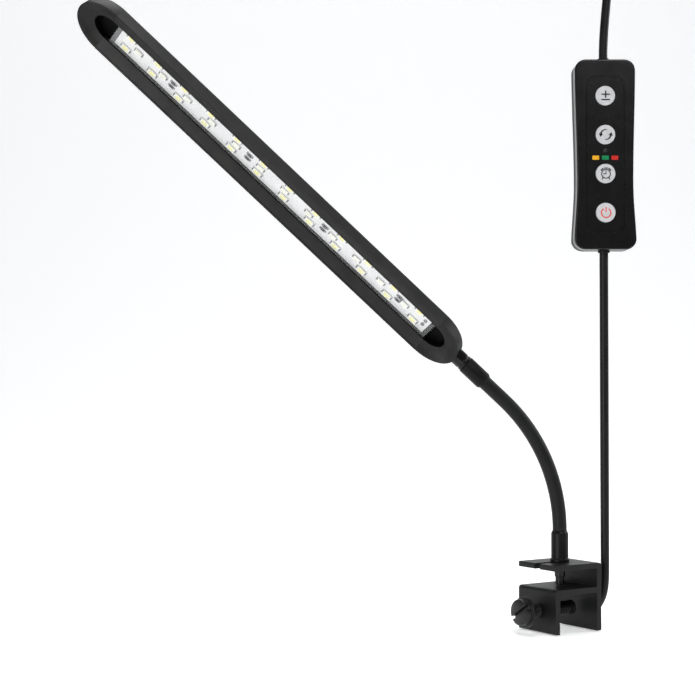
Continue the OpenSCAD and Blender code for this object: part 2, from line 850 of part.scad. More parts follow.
module controller_back() {
    floor_top = -box_t / 2 + box_wall;
    color("#161616")
    on_box() difference() {
        union() {
            difference() {
                translate([0, 0, -box_t / 2]) linear_extrude(box_t / 2) box_outline(0);
                translate([0, 0, floor_top]) linear_extrude(box_t) box_outline(box_wall);
            }
            for (side = [-1, 1]) translate([0, side * prop_y, -box_t / 2])
                cylinder(r = prop_r, h = pcb_z + box_t / 2);
        }
        each_post(-box_t / 2 - eps) cylinder(r = box_screw_r + slip, h = box_wall + 2 * eps);
        each_post(-box_t / 2 - eps) cylinder(r = box_screw_head_r + slip, h = box_screw_head_h + eps);
        from_each_end(-eps) cylinder(r = gland_r + slip, h = box_wall + 2 * eps);
    }
}

module controller_screws() {
    color("#6a6a6a")
    on_box() each_post(-box_t / 2) difference() {
        union() {
            cylinder(r = box_screw_r, h = box_t / 2 + box_screw_grip);
            cylinder(r = box_screw_head_r, h = box_screw_head_h);
        }
        cross_recess(box_screw_head_r);
    }
}

// Printed face plate, let into the front of the box
module controller_panel() {
    color("#0c0c0d")
    on_box() difference() {
        translate([0, 0, panel_back]) linear_extrude(panel_t) round_rect(panel_w, panel_h, panel_r);
        key_holes(panel_back - eps, box_t);
    }
}

module controller_board() {
    color("#1f5a3a")
    on_box() translate([-pcb_w / 2, -pcb_h / 2, pcb_z]) cube([pcb_w, pcb_h, pcb_t]);
}

module tact_switches() {
    color("#3c3c3c")
    on_box() for (i = [0 : 3]) translate([0, button_y(i), pcb_z + pcb_t]) {
        translate([-tact_w / 2, -tact_w / 2, 0]) cube([tact_w, tact_w, tact_h]);
        cylinder(r = plunger_r, h = tact_h + plunger_h);
    }
}

// A push button: its cap, a skirt that keeps it in the box, and its stem
module push_button(i) {
    skirt_top = panel_back - box_wall - slip;
    plunger_top = pcb_z + pcb_t + tact_h + plunger_h;
    on_box() translate([0, button_y(i), 0]) {
        translate([0, 0, skirt_top]) cylinder(r = button_d / 2, h = button_top - skirt_top);
        translate([0, 0, skirt_top - skirt_t]) cylinder(r = button_d / 2 + skirt_w, h = skirt_t);
        translate([0, 0, plunger_top + button_travel + slip])
            cylinder(r = stem_r, h = skirt_top - plunger_top - button_travel - slip);
    }
}

module button_dim() { color("#dcdcdc") push_button(0); }
module button_mode() { color("#dcdcdc") push_button(1); }
module button_timer() { color("#dcdcdc") push_button(2); }
module button_power() { color("#dcdcdc") push_button(3); }

// A light pipe from the board up to the face of the panel
module lamp_pipe(i) {
    top = panel_back + panel_t + lamp_proud;
    on_box() translate([i * lamp_pitch - lamp_w / 2, lamp_y - lamp_h / 2, pcb_z + pcb_t])
        cube([lamp_w, lamp_h, top - pcb_z - pcb_t]);
}

module timer_lamp_amber() { color("#e0a828") lamp_pipe(-1); }
module timer_lamp_green() { color("#1f8a50") lamp_pipe(0); }
module timer_lamp_red() { color("#c43028") lamp_pipe(1); }

module status_lamp() {
    top = panel_back + panel_t + lamp_proud;
    color("#3a3a3a")
    on_box() translate([0, status_y, pcb_z + pcb_t]) cylinder(d = status_d, h = top - pcb_z - pcb_t);
}

// Rubber gland: a collar in the box wall with a flange inside it
module gland(side) {
    color("#151515")
    on_box() from_end(side, -gland_out) {
        cylinder(r = gland_r, h = gland_out + box_wall);
        translate([0, 0, gland_out + box_wall]) cylinder(r = gland_flange_r, h = gland_flange_t);
    }
}

module gland_lower() { gland(-1); }
module gland_upper() { gland(1); }

// ---------- lead and adapter ----------

module lead_lower() {
    color("#171717") lead_tube(lead_lower_route, lead_d / 2, 10);
}

// A straight upright length of lead over the controller, from height z0 to z1
module upright_lead(z0, z1) {
    color("#171717")
    in_front_view() translate([0, z0, 0]) rotate([-90, 0, 0]) cylinder(d = lead_d, h = z1 - z0);
}

module lead_upper() {
    upright_lead(box_mid_z + box_h / 2 + gland_out, coil_z - 2);
}

module lead_tail() {
    upright_lead(coil_z + 2, plug_z - plug_relief_l + 1);
}

// The wound-up length of the lead, as the outer shape of its turns
module lead_coil() {
    color("#171717")
    on_coil() rotate_extrude() translate([coil_r, 0]) circle(r = coil_bundle_r);
}

module on_coil() {
    in_front_view() translate([-coil_r, coil_z, 0]) children();
}

module coil_ties() {
    ring_r = coil_bundle_r + tie_gap;
    color("#222222")
    on_coil() for (turn = [100, 215])
        rotate([0, 0, turn]) translate([coil_r, 0, 0]) rotate([90, 0, 0]) difference() {
            cylinder(r = ring_r + tie_t, h = tie_w, center = true);
            cylinder(r = ring_r, h = tie_w + 2 * eps, center = true);
        }
}

module on_adapter() {
    in_front_view() translate([0, plug_z + plug_h / 2, 0]) children();
}

// One half of the adapter's case, from depth z0 to z1, open towards the other
module adapter_half(z0, z1, open_back) {
    in0 = open_back ? z0 - eps : z0 + plug_wall;
    in1 = open_back ? z1 - plug_wall : z1 + eps;
    difference() {
        translate([0, 0, z0]) linear_extrude(z1 - z0) round_rect(plug_w, plug_h, plug_corner);
        translate([0, 0, in0]) linear_extrude(in1 - in0)
            round_rect(plug_w - 2 * plug_wall, plug_h - 2 * plug_wall, plug_corner - plug_wall);
    }
}

module adapter_front() {
    color("#1a1a1a")
    on_adapter() difference() {
        adapter_half(-plug_split, plug_t / 2, true);
        translate([0, -plug_h / 2 - eps, 0]) rotate([-90, 0, 0])
            cylinder(r = plug_relief_r + slip, h = plug_wall + 2 * eps);
    }
}

module each_blade() {
    for (side = [-1, 1]) translate([side * blade_gap / 2, 0, 0]) children();
}

module adapter_back() {
    color("#161616")
    on_adapter() difference() {
        adapter_half(-plug_t / 2, -plug_split, false);
        each_blade() cube([blade_t + 2 * slip, blade_w + 2 * slip, 4 * plug_t], center = true);
    }
}

module adapter_blades() {
    root = plug_wall + blade_root;
    color("#c8c4b8")
    on_adapter() each_blade() translate([-blade_t / 2, -blade_w / 2, -plug_t / 2 - blade_l])
        cube([blade_t, blade_w, blade_l + root]);
}

// The adapter's board, with its transformer, standing on the ends of the blades
module adapter_board() {
    base = -plug_t / 2 + plug_wall + blade_root;
    color("#2d6a44")
    on_adapter() {
        translate([-13, -18, base]) cube([26, 34, pcb_t]);
        translate([-8, -6, base + pcb_t]) cube([16, 18, 13]);
    }
}

module adapter_relief() {
    top = plug_relief_l + plug_wall;
    color("#171717")
    on_adapter() translate([0, -plug_h / 2 - plug_relief_l, 0]) rotate([-90, 0, 0]) rotate_extrude() polygon([
        [0, 0], [relief_r1, 0], [plug_relief_r, plug_relief_l - 1], [plug_relief_r, top],
        [plug_flange_r, top], [plug_flange_r, top + plug_flange_t], [0, top + plug_flange_t]
    ]);
}

clamp_bracket();
clamp_screw();
pressure_pad();
threaded_stud();
lock_nut();
lock_washer();
lower_ferrule();
strain_relief();
neck_seg_0();
neck_seg_1();
neck_seg_2();
neck_seg_3();
neck_seg_4();
neck_seg_5();
neck_seg_6();
upper_ferrule();
neck_collar();
end_cap_neck();
head_extrusion();
end_cap_tip();
cap_screws();
thermal_tape();
circuit_board();
leds_outer();
leds_middle();
resistors();
solder_pads();
strip_end_clip();
clear_cover();
head_wires();
controller_front();
controller_back();
controller_panel();
controller_board();
tact_switches();
button_dim();
button_mode();
button_timer();
button_power();
status_lamp();
timer_lamp_amber();
timer_lamp_green();
timer_lamp_red();
controller_screws();
gland_lower();
gland_upper();
lead_lower();
lead_upper();
lead_coil();
lead_tail();
coil_ties();
adapter_front();
adapter_back();
adapter_board();
adapter_blades();
adapter_relief();
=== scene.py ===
"""Looks of a clip-on aquarium light: its extruded head and moulded end caps, the sleeved
gooseneck, the screw clamp, the in-line controller and the low-voltage lead with its adapter.
Metres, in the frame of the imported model: origin on the rim of the glass, +Z up."""

import json
import math

import bmesh
import bpy
import numpy as np
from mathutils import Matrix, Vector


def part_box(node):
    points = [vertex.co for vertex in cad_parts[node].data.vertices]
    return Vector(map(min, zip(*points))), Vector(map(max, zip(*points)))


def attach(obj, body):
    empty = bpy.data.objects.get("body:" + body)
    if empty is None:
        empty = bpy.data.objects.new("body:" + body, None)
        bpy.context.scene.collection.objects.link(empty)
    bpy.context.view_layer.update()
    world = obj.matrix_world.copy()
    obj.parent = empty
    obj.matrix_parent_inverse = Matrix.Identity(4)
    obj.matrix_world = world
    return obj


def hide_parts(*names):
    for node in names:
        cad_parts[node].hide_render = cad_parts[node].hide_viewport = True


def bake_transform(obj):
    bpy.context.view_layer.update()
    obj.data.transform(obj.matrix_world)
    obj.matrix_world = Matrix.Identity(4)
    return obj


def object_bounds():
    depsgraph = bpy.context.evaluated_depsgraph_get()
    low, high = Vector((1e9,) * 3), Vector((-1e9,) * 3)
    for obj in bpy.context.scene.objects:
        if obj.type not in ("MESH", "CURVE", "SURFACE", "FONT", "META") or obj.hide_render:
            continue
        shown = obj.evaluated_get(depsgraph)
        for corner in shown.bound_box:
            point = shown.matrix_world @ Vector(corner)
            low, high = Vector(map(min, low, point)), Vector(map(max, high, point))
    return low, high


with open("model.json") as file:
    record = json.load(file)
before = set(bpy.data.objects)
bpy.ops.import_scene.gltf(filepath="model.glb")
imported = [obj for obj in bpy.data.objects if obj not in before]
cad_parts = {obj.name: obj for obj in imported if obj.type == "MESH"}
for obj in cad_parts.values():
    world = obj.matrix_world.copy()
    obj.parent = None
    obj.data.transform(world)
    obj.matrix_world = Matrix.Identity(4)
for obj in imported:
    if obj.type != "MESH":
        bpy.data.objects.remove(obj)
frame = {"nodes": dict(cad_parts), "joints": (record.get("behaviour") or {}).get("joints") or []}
cad_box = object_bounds()
MM = 0.001
joints = {joint["name"]: joint for joint in frame["joints"]}
X, Y, Z = np.eye(3)


# ---------- camera, light and floor ----------
# A soft-lit pale studio. The camera stands to the left of the clamp screw, level with the
# neck's bend and looking up a little, so that both the diodes and the clamp's end show.

camera_data = bpy.data.cameras.new("camera")
camera_data.lens = 78.34
camera_data.sensor_width = 36
camera_data.clip_end = 20
camera = bpy.data.objects.new("camera", camera_data)
camera.location = (-0.5705, -0.6543, 0.1187)
camera.rotation_euler = (math.radians(90 + 1.29), 0, math.radians(-33.12))
bpy.context.scene.collection.objects.link(camera)
bpy.context.scene.camera = camera


def linear(hex_colour):
    """Turns an sRGB hex colour into linear red, green, blue and alpha 1."""
    srgb = np.array([int(hex_colour[i : i + 2], 16) for i in (1, 3, 5)]) / 255
    lin = np.where(srgb <= 0.04045, srgb / 12.92, ((srgb + 0.055) / 1.055) ** 2.4)
    return (*lin.tolist(), 1.0)


def add_node(tree, kind, inputs=(), **settings):
    """Adds a node, sets its properties, and sets or links each of its inputs."""
    node = tree.nodes.new(kind)
    for name, value in settings.items():
        setattr(node, name, value)
    for name, value in dict(inputs).items():
        if isinstance(value, bpy.types.NodeSocket):
            tree.links.new(value, node.inputs[name])
        else:
            node.inputs[name].default_value = value
    return node


def new_material(name, settings):
    """A material with one Principled shader, and the tree and shader to add a pattern to."""
    material = bpy.data.materials.new(name)
    material.use_nodes = True
    tree = material.node_tree
    shader = tree.nodes["Principled BSDF"]
    for key, value in settings.items():
        shader.inputs[key].default_value = linear(value) if isinstance(value, str) else value
    return material, tree, shader


def ramp(tree, source, stops):
    """A colour ramp through the given (place, hex colour) stops."""
    node = add_node(tree, "ShaderNodeValToRGB", {"Fac": source})
    for i, (place, colour) in enumerate(stops):
        stop = node.color_ramp.elements[i] if i < 2 else node.color_ramp.elements.new(place)
        stop.position = place
        stop.color = linear(colour)
    return node.outputs["Color"]


world = bpy.data.worlds.new("studio")
world.use_nodes = True
backdrop = world.node_tree.nodes["Background"]
backdrop.inputs["Color"].default_value = linear("#f4f5f6")
# the room is dim round the soft boxes, but the paper behind the object looks evenly pale
seen = add_node(
    world.node_tree,
    "ShaderNodeMapRange",
    {
        "Value": add_node(world.node_tree, "ShaderNodeLightPath").outputs["Is Camera Ray"],
        "To Min": 0.22,
        "To Max": 1.0,
    },
)
world.node_tree.links.new(seen.outputs["Result"], backdrop.inputs["Strength"])
bpy.context.scene.world = world
bpy.context.scene.view_settings.view_transform = "Standard"


def soft_box(name, place, target, size, watts):
    """A square soft light at a place, turned to a target."""
    data = bpy.data.lights.new(name, "AREA")
    data.shape = "SQUARE"
    data.size = size
    data.energy = watts
    lamp = bpy.data.objects.new(name, data)
    forward = np.array(target) - np.array(place)
    level = math.hypot(forward[0], forward[1])
    lamp.rotation_euler = (math.atan2(level, -forward[2]), 0, math.atan2(-forward[0], forward[1]))
    lamp.location = place
    bpy.context.scene.collection.objects.link(lamp)


soft_box("key", (-0.35, -1.25, 1.05), (-0.1, 0, 0.25), 0.6, 11)
soft_box("right", (1.25, -0.45, 0.75), (0, 0, 0.2), 0.5, 8)
soft_box("left", (-1.3, -0.35, 0.15), (-0.25, 0.1, 0.3), 0.5, 8)
soft_box("above", (0.1, 0.35, 1.6), (0, 0, 0.1), 0.9, 14)

FLOOR_Z = cad_box[0][2] - 0.0005
floor_mesh = bpy.data.meshes.new("floor")
# the paper's section (out, up): level to 1.2 m, a quarter round of 1 m radius, up to 3 m
quarter = [(1.2 + math.sin(a), 1.0 - math.cos(a)) for a in np.linspace(0, math.pi / 2, 17)]
sweep = [(-0.45, 0.0), *quarter, (2.2, 3.0)]
# unit vectors on the floor, across the camera's heading and along it
across, away = np.array([0.8375, -0.5464]), np.array([0.5464, 0.8375])
floor_points = [
    (*(side * across + out * away), FLOOR_Z + up) for side in (-4.0, 4.0) for out, up in sweep
]
turn = len(sweep)
floor_faces = [(i, turn + i, turn + i + 1, i + 1) for i in range(turn - 1)]
floor_mesh.from_pydata(floor_points, [], floor_faces)
floor_mesh.shade_smooth()
floor = bpy.data.objects.new("floor", floor_mesh)
bpy.context.scene.collection.objects.link(floor)
paper, paper_tree, paper_shader = new_material(
    "pale_paper_sweep",
    {
        "Base Color": "#f6f7f8", "Roughness": 0.9, "Specular IOR Level": 0.2,
        "Emission Color": "#ffffff", "Emission Strength": 0.35,
    },
)
paper_tree.links.new(
    add_node(
        paper_tree,
        "ShaderNodeBump",
        {
            "Height": add_node(paper_tree, "ShaderNodeTexNoise", {"Scale": 900.0}).outputs["Fac"],
            "Strength": 0.03,
            "Distance": 0.0002,
        },
    ).outputs["Normal"],
    paper_shader.inputs["Normal"],
)
floor_mesh.materials.append(paper)


# ---------- the low-voltage lead ----------
# One round two-core lead with a smooth black PVC jacket. It leaves the back of the lower
# ferrule in a drip loop, rises to the controller, and goes on up through a tied coil.


def middle(*names):
    """Middle of the box round the named CAD nodes."""
    corners = np.array([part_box(name) for name in names])
    return (corners[:, 0].min(axis=0) + corners[:, 1].max(axis=0)) / 2


def unit(v):
    """The vector at length 1."""
    return np.asarray(v, float) / np.linalg.norm(v)


class Place:
    """Axes and origin that a piece is drawn in: x, y and z are unit vectors."""

    def __init__(self, origin, x, y):
        self.origin, self.x, self.y = np.array(origin, float), unit(x), unit(y)
        self.z = np.cross(self.x, self.y)

    def world(self, points):
        """Points of this place in the frame's axes."""
        points = np.asarray(points, float)
        return self.origin + points @ np.array([self.x, self.y, self.z])


into_wall = unit(joints["dim_press"]["axis"])
view_right = np.cross(into_wall, Z)
box_place = Place(middle("controller_front", "controller_back"), view_right, Z)
plug_place = Place(middle("adapter_front", "adapter_back"), view_right, Z)
LEAD_D = 5 * MM
riser = box_place.origin
# the same route as the lead's CAD solid, from the boot to the controller
lower_route = MM * np.array(
    [
        [13.7, 15.8, 24.7], [17.7, 20.4, 24.7], [22, 25.3, 24.2], [26.3, 30.2, 22],
        [30.2, 34.7, 17], [33, 37.9, 11], [34.2, 39.2, 4], [34.1, 37.6, -4],
        [33.8, 33.1, -10.8], [33.4, 26.3, -15.4], [33, 18.3, -17], [32.6, 10.3, -15.4],
        [32.2, 3.4, -10.8], [31.9, -1.2, -4],
        *[[31.8, -2.8, z] for z in (4, 14, 27, 45, 65, 90, 115, 140, 165, 193.2)],
    ]
)


def scale_of(mm):
    """The Scale of a noise or wave pattern in metres whose features are mm apart."""
    return 1 / (mm * MM)


def grain(tree, spacing_mm, detail=3.0):
    """Noise on Object coordinates with features spacing_mm apart."""
    coords = add_node(tree, "ShaderNodeTexCoord").outputs["Object"]
    noise = {"Vector": coords, "Scale": scale_of(spacing_mm), "Detail": detail, "Roughness": 0.6}
    return add_node(tree, "ShaderNodeTexNoise", noise).outputs["Fac"]


def between(tree, source, low, high):
    """Maps 0.3..0.7 of a noise onto low..high."""
    node = add_node(
        tree,
        "ShaderNodeMapRange",
        {"Value": source, "From Min": 0.3, "From Max": 0.7, "To Min": low, "To Max": high},
    )
    return node.outputs["Result"]


def bump(tree, height, depth_mm, normal=None):
    """A bump of the given depth, on top of another bump where one is given."""
    inputs = {"Height": height, "Distance": depth_mm * MM, "Strength": 1.0}
    if normal is not None:
        inputs["Normal"] = normal
    return add_node(tree, "ShaderNodeBump", inputs).outputs["Normal"]


def black_finish(name, dark, light, roughness, grain_mm, depth_mm, patch_mm=9.0, **settings):
    """A black surface: slow drift from dark to light, and a fine grain in gloss and height."""
    material, tree, shader = new_material(name, {"Specular IOR Level": 0.17, **settings})
    link = tree.links.new
    patches = grain(tree, patch_mm, detail=2.0)
    link(ramp(tree, patches, [(0.35, dark), (0.65, light)]), shader.inputs["Base Color"])
    fine = grain(tree, grain_mm)
    mixed = add_node(
        tree, "ShaderNodeMix", {"Factor": 0.5, "A": fine, "B": patches}, data_type="FLOAT"
    )
    link(between(tree, mixed.outputs["Result"], *roughness), shader.inputs["Roughness"])
    link(bump(tree, fine, depth_mm), shader.inputs["Normal"])
    return material


# PVC: a plasticised jacket, smooth from the die, with a soft sheen and faint handling marks
jacket = black_finish(
    "extruded_pvc_jacket", "#0c0c0d", "#121213", (0.36, 0.5), 0.9, 0.012, **{"IOR": 1.53}
)


def lead_curve(name, points, straight=False):
    """A lead of round section: a smooth open spline that its points steer, or straight steps."""
    data = bpy.data.curves.new(name, "CURVE")
    data.dimensions = "3D"
    data.bevel_depth = LEAD_D / 2
    data.bevel_resolution = 5
    data.use_fill_caps = True
    data.resolution_u = 4
    spline = data.splines.new("POLY" if straight else "NURBS")
    spline.points.add(len(points) - 1)
    spline.points.foreach_set("co", np.c_[points, np.ones(len(points))].ravel())
    if not straight:
        spline.order_u = 4
        spline.use_endpoint_u = True
    data.materials.append(jacket)
    lead = bpy.data.objects.new(name, data)
    bpy.context.scene.collection.objects.link(lead)
    return lead


lower_lead = lead_curve("lower_lead", lower_route)
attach(lower_lead, "root")
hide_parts("lead_lower")

COIL_TURNS = 7
COIL_R = 11 * LEAD_D / 2
coil_centre = middle("lead_coil")


def coil_route():
    """The lead from the controller's top up to the adapter, wound on the way into a round coil.

    The coil's turns lie as one in the middle and six round it. A turn is a circle of radius
    COIL_R + a at depth b, where (a, b) is the turn's place in the bundle, and each turn slides
    over to the next turn's place in its first sixth."""
    a = np.radians(np.arange(0, 360, 60))
    spots = np.vstack([(0, 0), np.stack([np.cos(a), np.sin(a)], axis=-1)])
    order = [1, 2, 0, 3, 4, 5, 6]
    spots = spots[order] * LEAD_D * 1.01
    steps = 48
    angle = np.linspace(0, 2 * math.pi * COIL_TURNS, steps * COIL_TURNS + 1)
    turn_no = np.minimum((angle / (2 * math.pi)).astype(int), COIL_TURNS - 1)
    part = angle / (2 * math.pi) - turn_no
    ease = np.clip((part - 5 / 6) * 6, 0, 1)
    ease = ease * ease * (3 - 2 * ease)
    following = np.minimum(turn_no + 1, COIL_TURNS - 1)
    spot = spots[turn_no] + (spots[following] - spots[turn_no]) * ease[:, None]
    radius = COIL_R + spot[:, 0]
    across = radius * np.cos(angle)
    up = radius * np.sin(angle)
    turns = coil_centre + across[:, None] * view_right + up[:, None] * Z + spot[:, 1:] * into_wall
    z_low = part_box("lead_upper")[0][2]
    z_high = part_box("lead_tail")[1][2]
    rise = np.linspace(0, 1, 16)
    ease_in = rise * rise * (3 - 2 * rise)

    def straight(start, end):
        """A stretch that leaves along Z and eases sideways over its length."""
        side = (end - start) - np.dot(end - start, Z) * Z
        climb = np.dot(end - start, Z)
        return start + climb * rise[:, None] * Z + ease_in[:, None] * side

    below = straight(np.array([*riser[:2], z_low]), turns[0] - 0.004 * Z)
    above = straight(turns[-1] + 0.004 * Z, np.array([*riser[:2], z_high]))
    return np.vstack([below, turns, above])


coil_points = coil_route()
coiled_lead = lead_curve("coiled_lead", coil_points, straight=True)
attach(coiled_lead, "root")
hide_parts("lead_upper", "lead_coil", "lead_tail")


# ---------- clamp bracket ----------
# A short length of aluminium extrusion, sawn off, deburred and anodised black: two jaws, a
# channel for the nut, and an open slot in its top plate. The teeth come with the extrusion.


def add_piece(name, mesh, material, body, slot, *nodes):
    """Puts a mesh into the scene as a piece in place of the named CAD nodes.

    It rides on the body, or on none where no body is given."""
    piece = bpy.data.objects.new(name, mesh)
    bpy.context.scene.collection.objects.link(piece)
    mesh.materials.append(material)
    if body:
        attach(piece, body)
    if nodes:
        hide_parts(*nodes)
    return piece


SHARP = math.radians(32)


def softened(piece, width_mm, segments=2):
    """Rounds the piece's edges that are sharper than SHARP, and shades it smooth."""
    piece.data.shade_smooth()
    edge = piece.modifiers.new("edges", "BEVEL")
    edge.width = width_mm * MM
    edge.segments = segments
    edge.limit_method = "ANGLE"
    edge.angle_limit = SHARP
    piece.modifiers.new("flat faces", "WEIGHTED_NORMAL")
    return piece


def cad_copy(node, flat_angle=1.5):
    """A copy of a CAD node's mesh, with its loose triangles merged into whole faces."""
    source = frame["nodes"][node]
    mesh = source.data.copy()
    mesh.transform(source.matrix_world)
    mesh.materials.clear()
    shell = bmesh.new()
    shell.from_mesh(mesh)
    bmesh.ops.remove_doubles(shell, verts=shell.verts, dist=2e-6)
    bmesh.ops.dissolve_limit(
        shell, angle_limit=math.radians(flat_angle), verts=shell.verts, edges=shell.edges
    )
    shell.to_mesh(mesh)
    shell.free()
    return mesh


def cad_piece(name, node, material, body, slot, width_mm, segments=2, flat_angle=1.5):
    """A copy of a CAD node in its place, with its sharp edges rounded."""
    piece = add_piece(name, cad_copy(node, flat_angle), material, body, slot, node)
    return softened(piece, width_mm, segments)


def anodised(name, along, dark, light, roughness):
    """Black anodised extrusion: a satin dye layer over die lines along a direction, which are
    about 0.35 mm apart and drawn out 50 times."""
    material, tree, shader = new_material(name, {"Specular IOR Level": 0.2})
    link = tree.links.new
    coords = add_node(tree, "ShaderNodeTexCoord")
    turned = add_node(
        tree,
        "ShaderNodeVectorRotate",
        {"Vector": coords.outputs["Object"], "Axis": unit(np.cross(along, X) + 1e-9).tolist()},
        rotation_type="AXIS_ANGLE",
    )
    turned.inputs["Angle"].default_value = math.acos(float(np.clip(np.dot(unit(along), X), -1, 1)))
    drawn = add_node(
        tree, "ShaderNodeMapping", {"Vector": turned.outputs["Vector"], "Scale": (0.02, 1, 1)}
    )
    lines = add_node(
        tree,
        "ShaderNodeTexNoise",
        {"Vector": drawn.outputs["Vector"], "Scale": scale_of(0.35), "Detail": 4.0},
    ).outputs["Fac"]
    etch = grain(tree, 0.12)
    patches = grain(tree, 14.0, detail=2.0)
    link(ramp(tree, patches, [(0.35, dark), (0.65, light)]), shader.inputs["Base Color"])
    link(between(tree, lines, *roughness), shader.inputs["Roughness"])
    link(bump(tree, etch, 0.006, normal=bump(tree, lines, 0.008)), shader.inputs["Normal"])
    return material


clamp_black = anodised("anodised_clamp_extrusion", Y, "#111112", "#161617", (0.34, 0.5))
cad_piece("bracket", "clamp_bracket", clamp_black, "root", "black_anodised", 0.22)


# ---------- clamp screw and its pad ----------
# A turned steel screw, blackened: a slotted head on a wide flange, and an M8 thread of
# 1.25 mm pitch rolled on its shank. Its end sits in a round rubber-tipped pad.


def closed_up(mesh):
    """Merges points that meet at a pole or seam, and turns every face outwards."""
    shell = bmesh.new()
    shell.from_mesh(mesh)
    bmesh.ops.remove_doubles(shell, verts=shell.verts, dist=1e-6)
    bmesh.ops.dissolve_degenerate(shell, edges=shell.edges, dist=1e-6)
    bmesh.ops.recalc_face_normals(shell, faces=shell.faces)
    shell.to_mesh(mesh)
    shell.free()


def grid_mesh(name, points, wrap_round=True, wrap_along=False, ends=True):
    """A mesh through a (rows, points in a row, 3) grid of points.

    wrap_round joins each row's end to its start, and wrap_along the last row to the first.
    Otherwise, where ends is true, the first and last rows are closed, each by one face."""
    rows, cols = points.shape[:2]
    steps = cols if wrap_round else cols - 1
    i, j = np.meshgrid(np.arange(rows - 1), np.arange(steps), indexing="ij")
    a = i * cols + j
    b = i * cols + (j + 1) % cols
    quads = np.stack([a, b, b + cols, a + cols], axis=-1).reshape(-1, 4)
    faces = quads.tolist()
    if ends and not wrap_along:
        faces.append(list(range(cols))[::-1])
        faces.append([(rows - 1) * cols + k for k in range(cols)])
    if wrap_along:
        last = (rows - 1) * cols
        faces += [[last + k, last + (k + 1) % cols, (k + 1) % cols, k] for k in range(cols)]
    mesh = bpy.data.meshes.new(name)
    mesh.from_pydata(points.reshape(-1, 3).tolist(), [], faces)
    closed_up(mesh)
    mesh.shade_smooth()
    mesh.set_sharp_from_angle(angle=math.radians(38))
    return mesh


def turned_grid(profile, place, sides=64):
    """A profile of (radius, height) points carried round the place's z axis."""
    profile = np.asarray(profile, float)
    a = np.linspace(0, 2 * math.pi, sides, endpoint=False)
    ring = np.stack([np.cos(a), np.sin(a), np.zeros(sides)], axis=-1)
    points = profile[:, None, :1] * ring[None] + profile[:, None, 1:] * np.array([0, 0, 1.0])
    return place.world(points)


def turned_piece(name, profile, place, material, body, slot, *nodes, sides=64):
    """A piece turned from a profile round the place's z axis."""
    mesh = grid_mesh(name, turned_grid(profile, place, sides))
    return add_piece(name, mesh, material, body, slot, *nodes)


def facing(toward, origin, x, y, turned="x"):
    """A place whose z axis is on the side of toward, its x or y axis reversed where need be."""
    place = Place(origin, x, y)
    if np.dot(place.z, toward) >= 0:
        return place
    return Place(origin, -place.x, place.y) if turned == "x" else Place(origin, place.x, -place.y)


def eased(profile, radius, steps=4):
    """Rounds each inner corner of a profile, with about that radius.

    A corner p becomes (1 - t)^2 (p + r b) + 2 t (1 - t) p + t^2 (p + r n) for t in 0..1, where
    b and n point to the points before and after it; r is at most 0.45 of either side."""
    p = np.asarray(profile, float)
    out = [p[0]]
    for before, at, after in zip(p[:-2], p[1:-1], p[2:]):
        back, on = before - at, after - at
        reach = min(radius, 0.45 * np.linalg.norm(back), 0.45 * np.linalg.norm(on))
        if reach < 1e-7:
            out.append(at)
            continue
        start, end = at + unit(back) * reach, at + unit(on) * reach
        for t in np.linspace(0, 1, steps + 1):
            out.append((1 - t) ** 2 * start + 2 * t * (1 - t) * at + t * t * end)
    return np.array(out + [p[-1]])


def threaded(place, radius, pitch, z0, z1, depth, sides=40, per_turn=10):
    """A threaded rod. With the phase p = (z / pitch - a / 2 pi) mod 1, its radius dips by
    depth * (2.6 |p - 0.5| - 0.15) held to 0..depth: a V with a flat crest and root. Over one
    pitch at both ends it fades to the core's radius."""
    rows = int((z1 - z0) / pitch * per_turn) + 2
    z = np.linspace(z0, z1, rows)[:, None]
    a = np.linspace(0, 2 * math.pi, sides, endpoint=False)[None]
    phase = (z / pitch - a / (2 * math.pi)) % 1
    tooth = np.clip(np.abs(phase - 0.5) * 2.6 - 0.15, 0, 1)
    fade = np.clip(np.minimum(z - z0, z1 - z) / pitch, 0, 1)
    r = radius - depth * (tooth * fade + (1 - fade))
    return place.world(np.stack([r * np.cos(a), r * np.sin(a), z + 0 * a], axis=-1))


def joined(name, *meshes):
    """One mesh from several closed shells."""
    shell = bmesh.new()
    for mesh in meshes:
        shell.from_mesh(mesh)
        bpy.data.meshes.remove(mesh)
    whole = bpy.data.meshes.new(name)
    shell.to_mesh(whole)
    shell.free()
    return whole


def half_disc(side, radius, gap, height0, height1, ease, place, steps=20):
    """Half of a slotted head: a round slab cut off gap from its middle, its top edge eased.

    The outline inset by t is the arc of radius - t from the chord at gap + t, closed by the
    chord; it is carried up from height0 and drawn in by t over the top edge."""
    rows = []
    edge = ((0, ease), (0.3 * ease, 0.3 * ease), (ease, 0))
    for t, z in ((0, height0), *((t, height1 - drop) for t, drop in edge)):
        r, chord = radius - t, gap + t
        reach = math.acos(chord / r)
        a = np.linspace(-reach, reach, steps)
        outline = np.stack([side * r * np.cos(a), side * r * np.sin(a), np.full(steps, z)], axis=-1)
        rows.append(outline)
    return place.world(np.array(rows))


screw_black = black_finish(
    "blackened_turned_steel", "#101011", "#181819", (0.28, 0.42), 0.35, 0.006,
    **{"Metallic": 0.2, "Specular IOR Level": 0.35},
)
screw_box = np.array(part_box("clamp_screw"))
pad_box = np.array(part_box("pressure_pad"))
SCREW_R = 4 * MM
FLANGE_R = 8.75 * MM
FLANGE_T = 1 * MM
HEAD_R = 7.25 * MM
HEAD_H = 3.8 * MM
SLOT_DEPTH = 2.6 * MM
SLOT_TURN = math.radians(-31)
